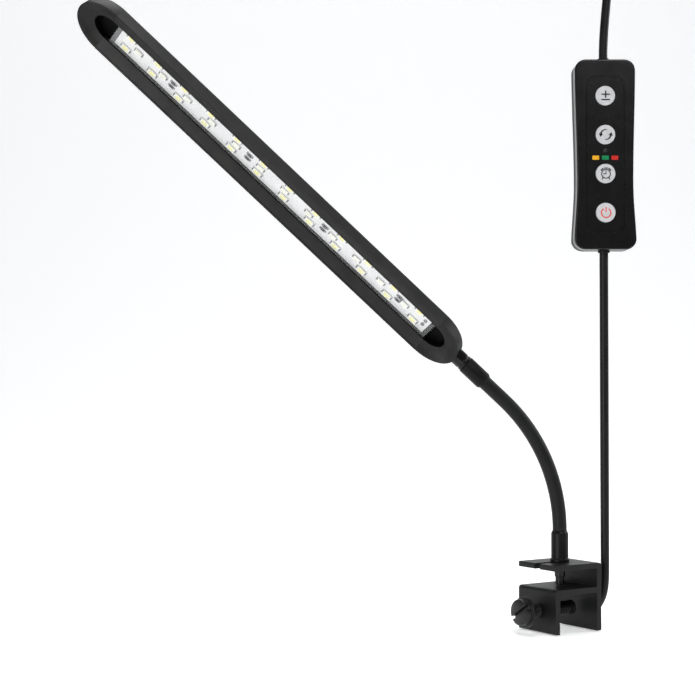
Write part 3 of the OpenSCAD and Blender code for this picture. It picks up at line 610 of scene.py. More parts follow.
# drawn along the screw, z from its slotted face inwards, x along the slot's normal
screw_place = facing(
    X,
    [screw_box[0][0], *middle("clamp_screw")[1:]],
    [0, -math.sin(SLOT_TURN), math.cos(SLOT_TURN)],
    [0, -math.cos(SLOT_TURN), -math.sin(SLOT_TURN)],
    "y",
)
outward = Place(screw_place.origin, screw_place.x, -screw_place.y)
flange_z = HEAD_H + FLANGE_T
head_profile = eased(
    [
        (0, SLOT_DEPTH), (HEAD_R, SLOT_DEPTH), (HEAD_R, HEAD_H - 0.4 * MM),
        (HEAD_R + 0.15 * MM, HEAD_H), (FLANGE_R - 0.2 * MM, HEAD_H), (FLANGE_R, HEAD_H + 0.2 * MM),
        (FLANGE_R, flange_z), (SCREW_R * 1.2, flange_z), (SCREW_R, flange_z + 0.7 * MM),
        (0, flange_z + 0.7 * MM),
    ],
    0.3 * MM,
)
shank_end = pad_box[0][0] - screw_place.origin[0]
head_mesh = joined(
    "screw_head",
    grid_mesh("turned_head", turned_grid(head_profile, screw_place, 72)),
    *[
        grid_mesh(
            "half_head",
            half_disc(side, HEAD_R, 1.0 * MM, -SLOT_DEPTH - 0.1 * MM, 0, 0.45 * MM, outward),
        )
        for side in (1, -1)
    ],
)
add_piece("screw_head", head_mesh, screw_black, "screw", "black_coated_steel", "clamp_screw")
shank = threaded(
    screw_place, SCREW_R, 1.25 * MM, flange_z + 0.2 * MM, shank_end, 0.62 * MM, sides=48
)
add_piece(
    "screw_thread", grid_mesh("screw_thread", shank), screw_black, "screw", "black_coated_steel"
)

pad_rubber = black_finish("moulded_pad_rubber", "#0c0c0c", "#121212", (0.55, 0.75), 0.5, 0.02)
pad_place = Place([pad_box[0][0], *middle("pressure_pad")[1:]], screw_place.x, screw_place.y)
PAD_R = 4.2 * MM
PAD_L = pad_box[1][0] - pad_box[0][0]
pad_profile = eased(
    [(0, 0), (PAD_R, 0), (PAD_R, PAD_L * 0.42), (PAD_R * 0.94, PAD_L * 0.5), (PAD_R, PAD_L * 0.58),
     (PAD_R, PAD_L * 0.75), (PAD_R * 0.72, PAD_L), (0, PAD_L)],
    0.7 * MM,
)
turned_piece("pad", pad_profile, pad_place, pad_rubber, "pad", "black_rubber", "pressure_pad")


# ---------- stud, nut and washer ----------
# An M4 steel stud hangs from the lower ferrule through the bracket's slot. A nut on a plain
# washer under the top plate holds it wherever it stands along the slot.

stud_box = np.array(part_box("threaded_stud"))
stud_place = Place([0, 0, 0], X, Y)
stud_mesh = grid_mesh(
    "stud",
    threaded(stud_place, 2 * MM, 0.7 * MM, stud_box[0][2], stud_box[1][2], 0.36 * MM, sides=28),
)
add_piece("stud", stud_mesh, screw_black, "root", "black_coated_steel", "threaded_stud")
cad_piece("nut", "lock_nut", screw_black, "root", "black_coated_steel", 0.25)
cad_piece("washer", "lock_washer", screw_black, "root", "black_coated_steel", 0.12)


# ---------- lower ferrule and its boot ----------
# A turned steel sleeve crimped on the gooseneck, with a small foot flange. The lead comes
# out at its back through a ribbed rubber boot.

ferrule_box = np.array(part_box("lower_ferrule"))
plate_z, ferrule_top = ferrule_box[0][2], ferrule_box[1][2]
FERRULE_R = 4.85 * MM
NECK_R = 4 * MM
ferrule_h = ferrule_top - plate_z
ferrule_profile = eased(
    [
        (0, 0), (FERRULE_R + 0.55 * MM, 0), (FERRULE_R + 0.55 * MM, 1.7 * MM),
        (FERRULE_R, 2.0 * MM), (FERRULE_R, ferrule_h - 1.7 * MM),
        (NECK_R + 0.1 * MM, ferrule_h), (0, ferrule_h),
    ],
    0.35 * MM,
)
ferrule_black = black_finish(
    "lacquered_steel_ferrule", "#0c0c0c", "#121212", (0.36, 0.46), 0.5, 0.006,
    **{"Metallic": 0.3},
)
ferrule_place = Place([0, 0, plate_z], X, Y)
turned_piece(
    "lower_sleeve", ferrule_profile, ferrule_place, ferrule_black, "root", "black_coated_steel",
    "lower_ferrule",
)

boot_axis = unit(lower_route[0] - np.array([0, 0, lower_route[0][2]]))
boot_place = facing(boot_axis, [0, 0, lower_route[0][2]], np.cross(Z, boot_axis), Z)
boot_tip = np.linalg.norm(lower_route[0][:2]) + 1.0 * MM
boot_root = 2.9 * MM


def boot_profile(z0, z1, r0, r1, ribs, rib_depth):
    """A tapered boot from height z0 to z1 and radius r0 to r1. Between plain ends, the first
    0.12 and the last 0.08 of its length, it has grooves rib_depth deep, as many as ribs."""
    t = np.linspace(0, 1, 20 * ribs)
    taper = r0 + (r1 - r0) * t
    plain = np.clip(np.minimum(t - 0.12, 0.92 - t) / 0.06, 0, 1)
    groove = np.clip(np.cos(2 * math.pi * ribs * t) * 1.6 - 0.5, 0, 1)
    radius = taper - rib_depth * plain * groove
    rows = np.stack([radius, z0 + (z1 - z0) * t], axis=-1)
    return np.vstack([[(0, z0)], rows, [(r1 * 0.5, z1), (0, z1)]])


boot_rubber = black_finish("moulded_boot_rubber", "#0d0d0d", "#131313", (0.5, 0.68), 0.6, 0.015)
turned_piece(
    "lead_boot", boot_profile(boot_root, boot_tip, 3 * MM, 2.8 * MM, 6, 0.35 * MM), boot_place,
    boot_rubber, "root", "black_rubber", "strain_relief", sides=48,
)


# ---------- gooseneck ----------
# A bendable steel spiral in a smooth matt silicone sleeve, 8 mm thick. It bends anywhere;
# here its sleeve is one tube, cut into six lengths between the six bends of the frame.

bend_names = [f"neck_{'bend' if k % 2 else 'lean'}_{k}" for k in range(1, 7)]
bends = [np.array(joints[name]["pos_m"]) for name in bend_names]
neck_dir = unit(joints["head_swivel"]["axis"])
swivel = np.array(joints["head_swivel"]["pos_m"])
UPPER_L = 13.6 * MM
TAPER_L = 1.6 * MM
COLLAR_L = 6.7 * MM
heading = unit([neck_dir[0], neck_dir[1], 0])
lean_total = math.acos(neck_dir[2])
# the rest curve: straight up, an arc of this radius through the lean, then straight
NECK_BEND_R = 100 * MM
NECK_RISE = 18 * MM
arc_len = NECK_BEND_R * lean_total


def neck_line(s):
    """Points at distances s up the neck from the top plate: up, round the arc, straight on."""
    s = np.asarray(s, float)
    a = np.clip((s - NECK_RISE) / NECK_BEND_R, 0, lean_total)
    over = np.maximum(s - NECK_RISE - arc_len, 0)
    out = NECK_BEND_R * (1 - np.cos(a)) + over * math.sin(lean_total)
    up = np.minimum(s, NECK_RISE) + NECK_BEND_R * np.sin(a) + over * math.cos(lean_total)
    centre = out[:, None] * heading + (plate_z + up)[:, None] * Z
    tangent = np.sin(a)[:, None] * heading + np.cos(a)[:, None] * Z
    return centre, tangent


# the neck's first 200 mm in steps of 0.05 mm
s_all = np.linspace(0, 0.2, 4001)
line_all = neck_line(s_all)[0]


def s_of(point):
    """Distance up the neck of the line's nearest point."""
    return float(s_all[np.argmin(np.linalg.norm(line_all - point, axis=1))])


s_bends = [s_of(b) for b in bends]
s_upper = s_of(swivel) - UPPER_L
# the sleeve is cut halfway between each bend and the next, and let into both ferrules
cuts = [ferrule_h - 0.3 * MM] + [(a + b) / 2 for a, b in zip(s_bends[:-1], s_bends[1:])]
cuts.append(s_upper - TAPER_L * 0.5)
silicone = black_finish(
    "matt_silicone_sleeve", "#0b0b0b", "#101110", (0.46, 0.58), 1.2, 0.01,
    **{"Sheen Weight": 0.15, "Sheen Roughness": 0.4},
)
side_dir = np.cross(Z, heading)
for k in range(6):
    centre, tangent = neck_line(np.linspace(cuts[k], cuts[k + 1], 25))
    normal = np.cross(tangent, side_dir)
    a = np.linspace(0, 2 * math.pi, 40, endpoint=False)
    ring = np.cos(a)[None, :, None] * side_dir + np.sin(a)[None, :, None] * normal[:, None]
    tube = centre[:, None] + NECK_R * ring
    name = f"sleeve_{k + 1}"
    covered = [f"neck_seg_{i}" for i in ((k + 1,) if k else (0, 1))]
    sleeve = add_piece(name, grid_mesh(name, tube), silicone, None, "black_silicone", *covered)
    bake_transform(sleeve)


# ---------- upper ferrule and collar ----------
# The top of the neck ends in a crimped steel sleeve with a sloped shoulder. A glossy turned
# collar swivels in it and is pressed into the head's end cap.

neck_end = facing(
    neck_dir, swivel - UPPER_L * neck_dir, np.cross(side_dir, neck_dir), side_dir
)
UPPER_R = 5 * MM
upper_profile = eased(
    [
        (0, -TAPER_L), (NECK_R + 0.1 * MM, -TAPER_L), (UPPER_R, 0.0),
        (UPPER_R, UPPER_L), (0, UPPER_L),
    ],
    0.3 * MM,
)
turned_piece(
    "upper_sleeve", upper_profile, neck_end, ferrule_black, "neck_link_6", "black_coated_steel",
    "upper_ferrule",
)
collar_gloss = black_finish(
    "polished_black_collar", "#0c0c0c", "#141414", (0.12, 0.22), 0.6, 0.003,
    **{"Metallic": 0.4, "Coat Weight": 0.3},
)
collar_steps = MM * np.array(
    [
        [0, 0.05], [4.35, 0.05], [4.7, 0.4], [4.7, 1.6], [4.35, 1.95], [4.35, 2.35],
        [4.7, 2.7], [4.7, 9.7], [0, 9.7],
    ]
)
collar_steps[:, 1] += UPPER_L
turned_piece(
    "collar", eased(collar_steps, 0.2 * MM), neck_end, collar_gloss, "head",
    "black_coated_steel", "neck_collar",
)


# ---------- mains adapter and coil ties ----------
# A black ABS case in two halves welded at a seam, two flat brass blades plated with nickel,
# and a boot for the lead. Two nylon straps hold the coil's turns together.


abs_gloss = black_finish(
    "polished_black_abs", "#101011", "#161617", (0.14, 0.26), 1.5, 0.004, **{"Coat Weight": 0.25}
)
abs_satin = black_finish("spark_textured_black_abs", "#161616", "#1d1d1d", (0.42, 0.58), 0.35, 0.02)
PLUG_W, PLUG_H, PLUG_CORNER = 36 * MM, 46 * MM, 5 * MM


def plug_shell(name, profile, material, slot, node):
    """Half of the adapter's case through the profile's rows of (inset, height) in mm.

    A row is a rectangle PLUG_W by PLUG_H with corners of radius PLUG_CORNER, all of it drawn
    in by the inset: four quarter arcs round fixed centres."""
    a = np.radians(np.linspace(0, 90, 7))
    rows = []
    for inset, height in profile:
        corner = max(PLUG_CORNER - inset * MM, 0.05 * MM)
        for k, (sx, sy) in enumerate(((1, 1), (-1, 1), (-1, -1), (1, -1))):
            x = sx * (PLUG_W / 2 - PLUG_CORNER) + corner * np.cos(a + k * math.pi / 2)
            y = sy * (PLUG_H / 2 - PLUG_CORNER) + corner * np.sin(a + k * math.pi / 2)
            rows.append(np.stack([x, y, np.full(len(a), height * MM)], axis=-1))
    points = plug_place.world(np.array(rows).reshape(len(profile), -1, 3))
    return add_piece(name, grid_mesh(name, points), material, "root", slot, node)


# the halves meet 6 mm behind the middle of the case, in a fine groove
adapter_cover = plug_shell(
    "adapter_cover",
    [(1.2, -5.9), (0.4, -5.9), (0.05, -5.65), (0, -5.1), (0.1, 11.4), (0.5, 12.8), (1.3, 13.6),
     (2.6, 14), (4.2, 13.98)],
    abs_gloss, "gloss_black_plastic", "adapter_front",
)
adapter_base = plug_shell(
    "adapter_base",
    [(3.2, -14), (1, -14), (0.3, -13.7), (0, -13), (0, -6.6), (0.25, -6.1), (1.2, -6)],
    abs_satin, "matte_black_plastic", "adapter_back",
)
nickel = black_finish(
    "nickel_plated_brass", "#b9b6ae", "#c9c6bd", (0.2, 0.34), 0.8, 0.004, **{"Metallic": 1.0}
)
blades = cad_piece("blades", "adapter_blades", nickel, "root", "plated_steel", 0.3)
boot_low, boot_high = (corner[2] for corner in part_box("adapter_relief"))
adapter_boot = turned_piece(
    "adapter_boot",
    boot_profile(boot_low, boot_high - 1.4 * MM, 2.8 * MM, 3.8 * MM, 6, 0.35 * MM),
    Place([*plug_place.origin[:2], 0], X, Y),
    boot_rubber, "root", "black_rubber", "adapter_relief", sides=48,
)

nylon = black_finish("matt_nylon_strap", "#161616", "#202020", (0.5, 0.62), 0.4, 0.02)
TIE_W = 3 * MM
TIE_T = 0.8 * MM
TIE_R = 7.65 * MM
for k, turn in enumerate((100, 215)):
    a = math.radians(turn)
    out = math.cos(a) * view_right + math.sin(a) * Z
    along = -math.sin(a) * view_right + math.cos(a) * Z
    tie_place = Place(coil_centre + COIL_R * out, out, np.cross(along, out))
    band = eased(
        [
            (TIE_R, -TIE_W / 2), (TIE_R + TIE_T, -TIE_W / 2), (TIE_R + TIE_T, TIE_W / 2),
            (TIE_R, TIE_W / 2), (TIE_R, -TIE_W / 2),
        ],
        0.2 * MM,
    )[:-1]
    name = f"coil_tie_{k + 1}"
    mesh = grid_mesh(name, turned_grid(band, tie_place, 48), wrap_along=True)
    covered = ["coil_ties"] if k == 0 else []
    add_piece(name, mesh, nylon, "root", "black_rubber", *covered)


# ---------- head extrusion ----------
# One length of black anodised aluminium extrusion: sloping flanks down to a trough for the
# diodes, smooth side bands, and shallow cooling grooves along its back.

nose = swivel + COLLAR_L * neck_dir
HEAD_LEN = 285 * MM
HEAD_HALF = 13 * MM
RIM_Z = 5.5 * MM
CAP_LEN = 20 * MM
HEAD_ROLL = math.radians(48 - 180)
TROUGH_HALF = 6.1 * MM
LIP_Z = RIM_Z - 3.4 * MM
SEAM = 0.3 * MM
TROUGH_FLOOR_Z = -RIM_Z + 2.6 * MM
neck_x = math.cos(lean_total) * heading - math.sin(lean_total) * Z
head_y = -math.sin(HEAD_ROLL) * neck_x + math.cos(HEAD_ROLL) * side_dir
head_place = Place(nose, neck_dir, head_y)

head_black = anodised("anodised_head_extrusion", neck_dir, "#202020", "#272726", (0.36, 0.5))
extrusion = cad_piece(
    "extrusion", "head_extrusion", head_black, "head", "black_anodised", 0.16
)


def head_blocks(name, centres, sizes, material, slot, *nodes, place=head_place, edge=0.08 * MM):
    """A piece of the head made of small blocks: at each centre (x, y, bottom z), a box of that
    size (length, width, height) whose top is drawn in by edge."""
    centres = np.atleast_2d(centres)
    sizes = np.broadcast_to(sizes, centres.shape)
    square = np.array([(-1, -1), (1, -1), (1, 1), (-1, 1)]) / 2
    corners = []
    for inset, low in ((0, 0), (0, edge), (edge, 0)):
        flat = square[None] * (sizes[:, None, :2] - 2 * inset)
        high = np.zeros(len(sizes)) if (inset, low) == (0, 0) else sizes[:, 2] - low
        high = np.broadcast_to(high[:, None, None], (*flat.shape[:2], 1))
        corners.append(np.concatenate([flat, high], axis=-1) + centres[:, None])
    points = np.concatenate(corners, axis=1)
    ring = [
        (i * 4 + j, i * 4 + (j + 1) % 4, i * 4 + 4 + (j + 1) % 4, i * 4 + 4 + j)
        for i in range(2)
        for j in range(4)
    ] + [(3, 2, 1, 0), (8, 9, 10, 11)]
    faces = (np.array(ring)[None] + 12 * np.arange(len(centres))[:, None, None]).reshape(-1, 4)
    mesh = bpy.data.meshes.new(name)
    mesh.from_pydata(place.world(points.reshape(-1, 3)).tolist(), [], faces.tolist())
    return add_piece(name, mesh, material, "head", slot, *nodes)


# painted shade: a near-black for the trough's walls and floor, where shade falls deep in the cavity
trough_shade_black = black_finish(
    "painted_trough_shade", "#050505", "#080808", (0.4, 0.5), 1.0, 0.002,
    **{"Specular IOR Level": 0.06},
)


def darken_trough(piece, place):
    """Paints the faces that lie inside the trough, below its lip, with the darker black: painted shade
    for the deep cavity.
    """
    piece.data.materials.append(trough_shade_black)
    for face in piece.data.polygons:
        y, z = np.array([place.y, place.z]) @ (np.array(face.center) - place.origin)
        if abs(y) < TROUGH_HALF + 0.12 * MM and TROUGH_FLOOR_Z - 0.1 * MM < z < LIP_Z:
            face.material_index = 1


darken_trough(extrusion, head_place)
# painted shade: a fine near-black line follows each rim at the top of the flank, where a
# shadow line falls; it is a strip let in by 0.2 mm that stands 0.04 mm proud
flank = unit([0, HEAD_HALF - TROUGH_HALF, RIM_Z - LIP_Z])
LINE_DROP = 0.4 * MM / (HEAD_HALF - TROUGH_HALF) * (RIM_Z - LIP_Z)
for side, name in ((-1, "rim_shade_line_near"), (1, "rim_shade_line_far")):
    slope = side * flank[1] * head_place.y + flank[2] * head_place.z
    start = nose + side * (HEAD_HALF - 1.1 * MM) * head_place.y
    start = start + (RIM_Z - LINE_DROP) * head_place.z
    shade_line_place = facing(head_place.z, start, head_place.x, slope)
    run = np.dot(shade_line_place.x, head_place.x)
    head_blocks(
        name, (run * HEAD_LEN / 2, 0, -0.2 * MM),
        (HEAD_LEN - 2 * CAP_LEN - 2 * SEAM, 0.3 * MM, 0.24 * MM),
        trough_shade_black, "black_anodised", place=shade_line_place, edge=0.02 * MM,
    )


# ---------- end caps ----------
# Two black ABS mouldings, spark-textured, that carry the extrusion's outline round in a
# rounded nose. A dish inside each slopes from the rim down to the floor of the trough, painted
# near-black for its shade.


def cap_rows():
    """Rows of a cap from the middle of its back, over the rim, down to the middle of its floor.

    A row is the nose x = start + l (1 - cos a), y = half sin a for a from -90 to 90 degrees,
    run on straight at both ends to the cap's open side. The values (start, l, half, z) follow
    the section: back, rounded edge, side band, rim, dish, trough wall, floor."""
    back_r = 2.5 * MM
    rim = 0.7 * MM
    dish = CAP_LEN / 2
    section = [(t, CAP_LEN - t, HEAD_HALF - t, -RIM_Z) for t in (13 * MM, 9 * MM, 5 * MM)]
    for a in np.radians(np.linspace(90, 0, 8)):
        t = back_r * (1 - math.cos(a))
        section.append((t, CAP_LEN - t, HEAD_HALF - t, -RIM_Z + back_r * (1 - math.sin(a))))
    for t, drop in ((0, 0.3), (0.08, 0.08), (0.25, 0), (0.55, 0), (0.7, 0.08)):
        section.append((t * MM, CAP_LEN - t * MM, HEAD_HALF - t * MM, RIM_Z - drop * MM))
    for f in np.linspace(0.08, 1, 9):
        start = rim + f * (CAP_LEN - dish - rim)
        half = HEAD_HALF - rim + f * (TROUGH_HALF - HEAD_HALF + rim)
        sag = 0.45 * MM * math.sin(math.pi * f)
        section.append((start, CAP_LEN - start, half, RIM_Z - f * (RIM_Z - LIP_Z) - sag))
    floor = (CAP_LEN - dish, dish, TROUGH_HALF)
    for inset, z in ((0.05, LIP_Z - 0.3 * MM), (0.1, TROUGH_FLOOR_Z + 0.5 * MM), (0.5, TROUGH_FLOOR_Z),
                     (3.0, TROUGH_FLOOR_Z), (6.1, TROUGH_FLOOR_Z)):
        t = inset * MM
        section.append((floor[0] + t, floor[1] - t, floor[2] - t, z))
    a = np.radians(np.linspace(-90, 90, 49))
    rows = []
    for start, l, half, z in section:
        x = start + l * (1 - np.cos(a))
        y = half * np.sin(a)
        x = np.r_[CAP_LEN - SEAM, x, CAP_LEN - SEAM]
        y = np.r_[-half, y, half]
        rows.append(np.stack([x, y, np.full(len(x), z)], axis=-1))
    return np.array(rows)


def cap_mesh(name, place):
    """The cap's rows as one skin, closed by a flat face over its open side."""
    mesh = grid_mesh(name, place.world(cap_rows()), wrap_round=False, ends=False)
    shell = bmesh.new()
    shell.from_mesh(mesh)
    open_edges = [edge for edge in shell.edges if edge.is_boundary]
    bmesh.ops.edgeloop_fill(shell, edges=open_edges)
    bmesh.ops.recalc_face_normals(shell, faces=shell.faces)
    shell.to_mesh(mesh)
    shell.free()
    return mesh


cap_black = black_finish(
    "spark_textured_cap", "#1a1a1a", "#222221", (0.4, 0.54), 0.4, 0.014, patch_mm=6.0
)
tip_place = facing(head_place.z, nose + HEAD_LEN * neck_dir, -neck_dir, head_y, "y")
for name, place, node in (
    ("neck_cap", head_place, "end_cap_neck"),
    ("tip_cap", tip_place, "end_cap_tip"),
):
    cap = add_piece(name, cap_mesh(name, place), cap_black, "head", "matte_black_plastic", node)
    darken_trough(cap, place)
    cap.data.shade_smooth()
    cap.data.set_sharp_from_angle(angle=math.radians(40))


# ---------- circuit board ----------
# A white-lacquered aluminium board on grey thermal tape, with tinned pads and a grey line
# printed beside each place. Drawn in the head: x along it, z off the floor.

board_x1 = HEAD_LEN - CAP_LEN - 5.5 * MM
BOARD_TOP = TROUGH_FLOOR_Z + 1.3 * MM


def cad_finish(material, *nodes):
    """Gives CAD nodes that stay as they are their finish."""
    for name in nodes:
        data = frame["nodes"][name].data
        data.materials.clear()
        data.materials.append(material)


white_lacquer, lacquer_tree, lacquer_shader = new_material(
    "white_board_lacquer", {"IOR": 1.5, "Coat Weight": 0.15}
)
lacquer_fine = grain(lacquer_tree, 0.5)
for value, socket in (
    (ramp(lacquer_tree, grain(lacquer_tree, 12.0, 2.0), [(0.35, "#dededf"), (0.65, "#e8e8e8")]),
     "Base Color"),
    (between(lacquer_tree, lacquer_fine, 0.3, 0.45), "Roughness"),
    (bump(lacquer_tree, lacquer_fine, 0.01), "Normal"),
):
    lacquer_tree.links.new(value, lacquer_shader.inputs[socket])
cad_finish(white_lacquer, "circuit_board")


def plain_finish(name, dark, light, roughness, grain_mm=0.6, depth_mm=0.006, **settings):
    """A moulded, plated or printed finish in one hue."""
    return black_finish(name, dark, light, roughness, grain_mm, depth_mm, patch_mm=3.0, **settings)


tin = plain_finish("hot_tinned_pad", "#6d6e70", "#8b8c8d", (0.4, 0.55), **{"Metallic": 0.5})
print_grey = plain_finish("grey_printed_outline", "#7d7e80", "#97989a", (0.5, 0.6))
phosphor = plain_finish("yellow_phosphor_gel", "#f1eda0", "#f7f3b6", (0.3, 0.4))
package_white = plain_finish("white_diode_tray", "#ecece4", "#f4f4ee", (0.35, 0.45))
chip_black = plain_finish("glazed_chip_ceramic", "#1c1c1e", "#2c2c2e", (0.25, 0.35))

LED_L, LED_W, LED_H = 5.7 * MM, 3.0 * MM, 0.9 * MM
ROW_Y = 3.6 * MM
OUTER_PITCH = 20 * MM
MIDDLE_PITCH = 18.5 * MM
outer_x = board_x1 - 7 * MM - OUTER_PITCH * np.arange(12)
middle_x = board_x1 - 14.3 * MM - MIDDLE_PITCH * np.arange(12)
outer_at = np.array([(x, side * ROW_Y, BOARD_TOP) for x in outer_x for side in (-1, 1)])
middle_at = np.array([(x, 0.0, BOARD_TOP) for x in middle_x])
resistor_at = np.array(
    [(board_x1 - 40 * MM - 57.8 * MM * i, s * 1.2 * MM, BOARD_TOP) for i in range(4) for s in (-1, 1)]
)


def gathered(groups):
    """Centres and sizes of several (centres, size or sizes) groups of blocks, as two arrays."""
    sizes = [np.broadcast_to(size, centres.shape) for centres, size in groups]
    return np.vstack([centres for centres, _ in groups]), np.vstack(sizes)


def diode_trays(at, length, width):
    """Open trays round the gel: four walls and a floor as blocks."""
    wall = 0.5 * MM
    up = np.array([0, width / 2 - wall / 2, 0])
    on = np.array([length / 2 - 1.1 * wall, 0, 0])
    long_wall = (length, wall, LED_H)
    end_wall = (wall * 2.2, width - 2 * wall, LED_H)
    floor = (length - 2 * wall, width - 2 * wall, LED_H - 0.2 * MM)
    walls = [(at + up, long_wall), (at - up, long_wall), (at + on, end_wall), (at - on, end_wall)]
    return gathered([*walls, (at, floor)])


MID_L, MID_W = 4.5 * MM, 2.6 * MM
head_blocks(
    "outer_diodes", *diode_trays(outer_at, LED_L, LED_W), package_white, "phosphor", "leds_outer",
    edge=0.06 * MM,
)
head_blocks(
    "middle_diodes", *diode_trays(middle_at, MID_L, MID_W), package_white, "led_package",
    "leds_middle", edge=0.06 * MM,
)
gel_z = (LED_H - 0.2 * MM) * Z
outer_gel_size = (LED_L - 2.3 * MM, LED_W - 1.05 * MM, 0.12 * MM)
head_blocks("outer_gel", outer_at + gel_z, outer_gel_size, phosphor, "phosphor")
clear_gel = plain_finish("pale_phosphor_gel", "#e9e9d8", "#f2f2e4", (0.2, 0.3))
middle_gel_size = (2.3 * MM, 1.5 * MM, 0.12 * MM)
head_blocks("middle_gel", middle_at + gel_z, middle_gel_size, clear_gel, "led_package")


def pads_for(at, half, width):
    """A tinned pad past each end of each place, which reaches half its length either way."""
    step = np.array([half, 0, 0])
    return np.vstack([at + step, at - step]), (1.0 * MM, width, 0.06 * MM)


pads = [
    pads_for(outer_at, LED_L / 2 + 0.35 * MM, 1.9 * MM),
    pads_for(middle_at, MID_L / 2 + 0.5 * MM, 1.7 * MM),
    pads_for(resistor_at, 1.95 * MM, 1.4 * MM),
]
head_blocks("board_pads", *gathered(pads), tin, "solder", edge=0.02 * MM)


def outlines_for(at, length, width, gap):
    """A printed bracket on the -y side of each place, and a short stroke at each end of it."""
    line, thick = 0.22 * MM, 0.03 * MM
    side = -(width / 2 + gap)
    long_stroke = (at + [0, side, 0], (length + 1.6 * MM, line, thick))
    ends = [
        (at + [s * (length / 2 + 0.8 * MM), side + 0.45 * MM, 0], (line, 0.9 * MM, thick))
        for s in (-1, 1)
    ]
    return [long_stroke, *ends]


marks = (
    outlines_for(outer_at[1::2], LED_L, LED_W, 0.3 * MM)
    + outlines_for(middle_at, MID_L, MID_W, 0.3 * MM)
    + outlines_for(resistor_at[::2], 3.2 * MM, 1.6 * MM, 0.25 * MM)
)
head_blocks("board_print", *gathered(marks), print_grey, "white_solder_mask", edge=0.005 * MM)

chip_size = (2.3 * MM, 1.5 * MM, 0.6 * MM)
head_blocks("chips", resistor_at, chip_size, chip_black, "chip_black", "resistors")
chip_ends = np.vstack([resistor_at + [s * 1.35 * MM, 0, 0] for s in (-1, 1)])
head_blocks("chip_ends", chip_ends, (0.5 * MM, 1.5 * MM, 0.58 * MM), tin, "solder")

cad_finish(tin, "solder_pads")
clip_grey = plain_finish("moulded_grey_clip", "#55565a", "#606164", (0.5, 0.6), 2.0, 0.001)
cad_finish(clip_grey, "strip_end_clip")
tape_grey = plain_finish("woven_thermal_tape", "#8d9094", "#a4a6a9", (0.6, 0.75))
cad_finish(tape_grey, "thermal_tape")
cad_finish(jacket, "head_wires")
screw_zinc = plain_finish("zinc_plated_screw", "#8b8c8e", "#a3a4a6", (0.3, 0.42), **{"Metallic": 0.9})
cad_finish(screw_zinc, "cap_screws")
clear_cover = plain_finish(
    "clear_extruded_acrylic", "#f4f7f8", "#ffffff", (0.03, 0.05), 20.0, 0.0001,
    **{"Alpha": 0.06, "IOR": 1.49},
)
cad_finish(clear_cover, "clear_cover")


# ---------- controller case ----------
# Two polished black ABS shells, waisted for the hand, screwed together from behind. A
# printed face plate is let into the front, with holes for the keys and the light pipes.


def reach(node, direction):
    """How far a CAD node reaches along a direction from the frame's origin."""
    mesh = frame["nodes"][node].data
    points = np.empty(3 * len(mesh.vertices))
    mesh.vertices.foreach_get("co", points)
    world = np.array(frame["nodes"][node].matrix_world)
    return float((points.reshape(-1, 3) @ world[:3, :3].T + world[:3, 3]).dot(direction).max())


FACE_GAP, OUTLINE_X, OUTLINE_Y = 0.05 * MM, 14.5 * MM, 50 * MM


def rounded_case(piece, place, face_z, edge_mm, fine_mm):
    """Rounds the outer edge of the case's face by edge_mm, and its other edges by fine_mm.

    An edge is on the outer outline where it lies on the face and its middle is further than
    OUTLINE_X to the side of the case's middle, or OUTLINE_Y above or below it."""
    mesh = piece.data
    mesh.shade_smooth()
    points = np.empty(3 * len(mesh.vertices))
    mesh.vertices.foreach_get("co", points)
    local = (points.reshape(-1, 3) - place.origin) @ np.array([place.x, place.y, place.z]).T
    pairs = np.empty(2 * len(mesh.edges), dtype=int)
    mesh.edges.foreach_get("vertices", pairs)
    both = local[pairs.reshape(-1, 2)]
    on_face = np.abs(both[..., 2] - face_z).max(axis=1) < FACE_GAP
    mid = np.abs(both.mean(axis=1))
    outer = (mid[:, 0] > OUTLINE_X) | (mid[:, 1] > OUTLINE_Y)
    weights = np.where(on_face & outer, 1.0, fine_mm / edge_mm)
    mesh.attributes.new("bevel_weight_edge", "FLOAT", "EDGE").data.foreach_set("value", weights)
    crisp = piece.modifiers.new("edges", "BEVEL")
    crisp.width = edge_mm * MM
    crisp.segments = 4
    crisp.limit_method = "WEIGHT"
    piece.modifiers.new("flat faces", "WEIGHTED_NORMAL")


def sharp_only(mesh):
    """Clears the bevel weight of edges whose faces meet at less than SHARP."""
    shell = bmesh.new()
    shell.from_mesh(mesh)
    layer = shell.edges.layers.float.get("bevel_weight_edge")
    for edge in shell.edges:
        if len(edge.link_faces) != 2 or edge.calc_face_angle(0) < SHARP:
            edge[layer] = 0
    shell.to_mesh(mesh)
    shell.free()


abs_case = black_finish(
    "polished_black_case", "#0a0a0b", "#0d0d0e", (0.2, 0.26), 2.0, 0.0005,
    **{"Specular IOR Level": 0.27},
)
CASE_T = 14 * MM
for name, node, material, slot_name, face in (
    ("case_front", "controller_front", abs_case, "gloss_black_plastic", CASE_T / 2),
    ("case_back", "controller_back", abs_satin, "matte_black_plastic", -CASE_T / 2),
):
    half_case = add_piece(name, cad_copy(node, 0.2), material, "root", slot_name, node)
    rounded_case(half_case, box_place, face, 1.3, 0.15)
    sharp_only(half_case.data)
plate_gloss = black_finish(
    "printed_gloss_plate", "#090909", "#0c0c0d", (0.24, 0.3), 2.5, 0.0005,
    **{"Specular IOR Level": 0.2},
)
cad_piece(
    "face_plate", "controller_panel", plate_gloss, "root", "gloss_black_plastic", 0.12,
    flat_angle=0.2,
)
for name in ("gland_lower", "gland_upper"):
    cad_piece(f"rubber_{name}", name, boot_rubber, "root", "black_rubber", 0.25, 3)
fibreglass = plain_finish("green_lacquered_fibreglass", "#1d5237", "#27684a", (0.35, 0.5))
cad_finish(fibreglass, "controller_board", "adapter_board")
cad_finish(chip_black, "tact_switches")
cad_finish(screw_zinc, "controller_screws")


# ---------- keys and lamps ----------
# Four moulded white keys with signs printed on them: brighter and dimmer, change of colour,
# timer, and power in red. Between them are a smoked dot and three tinted light pipes.

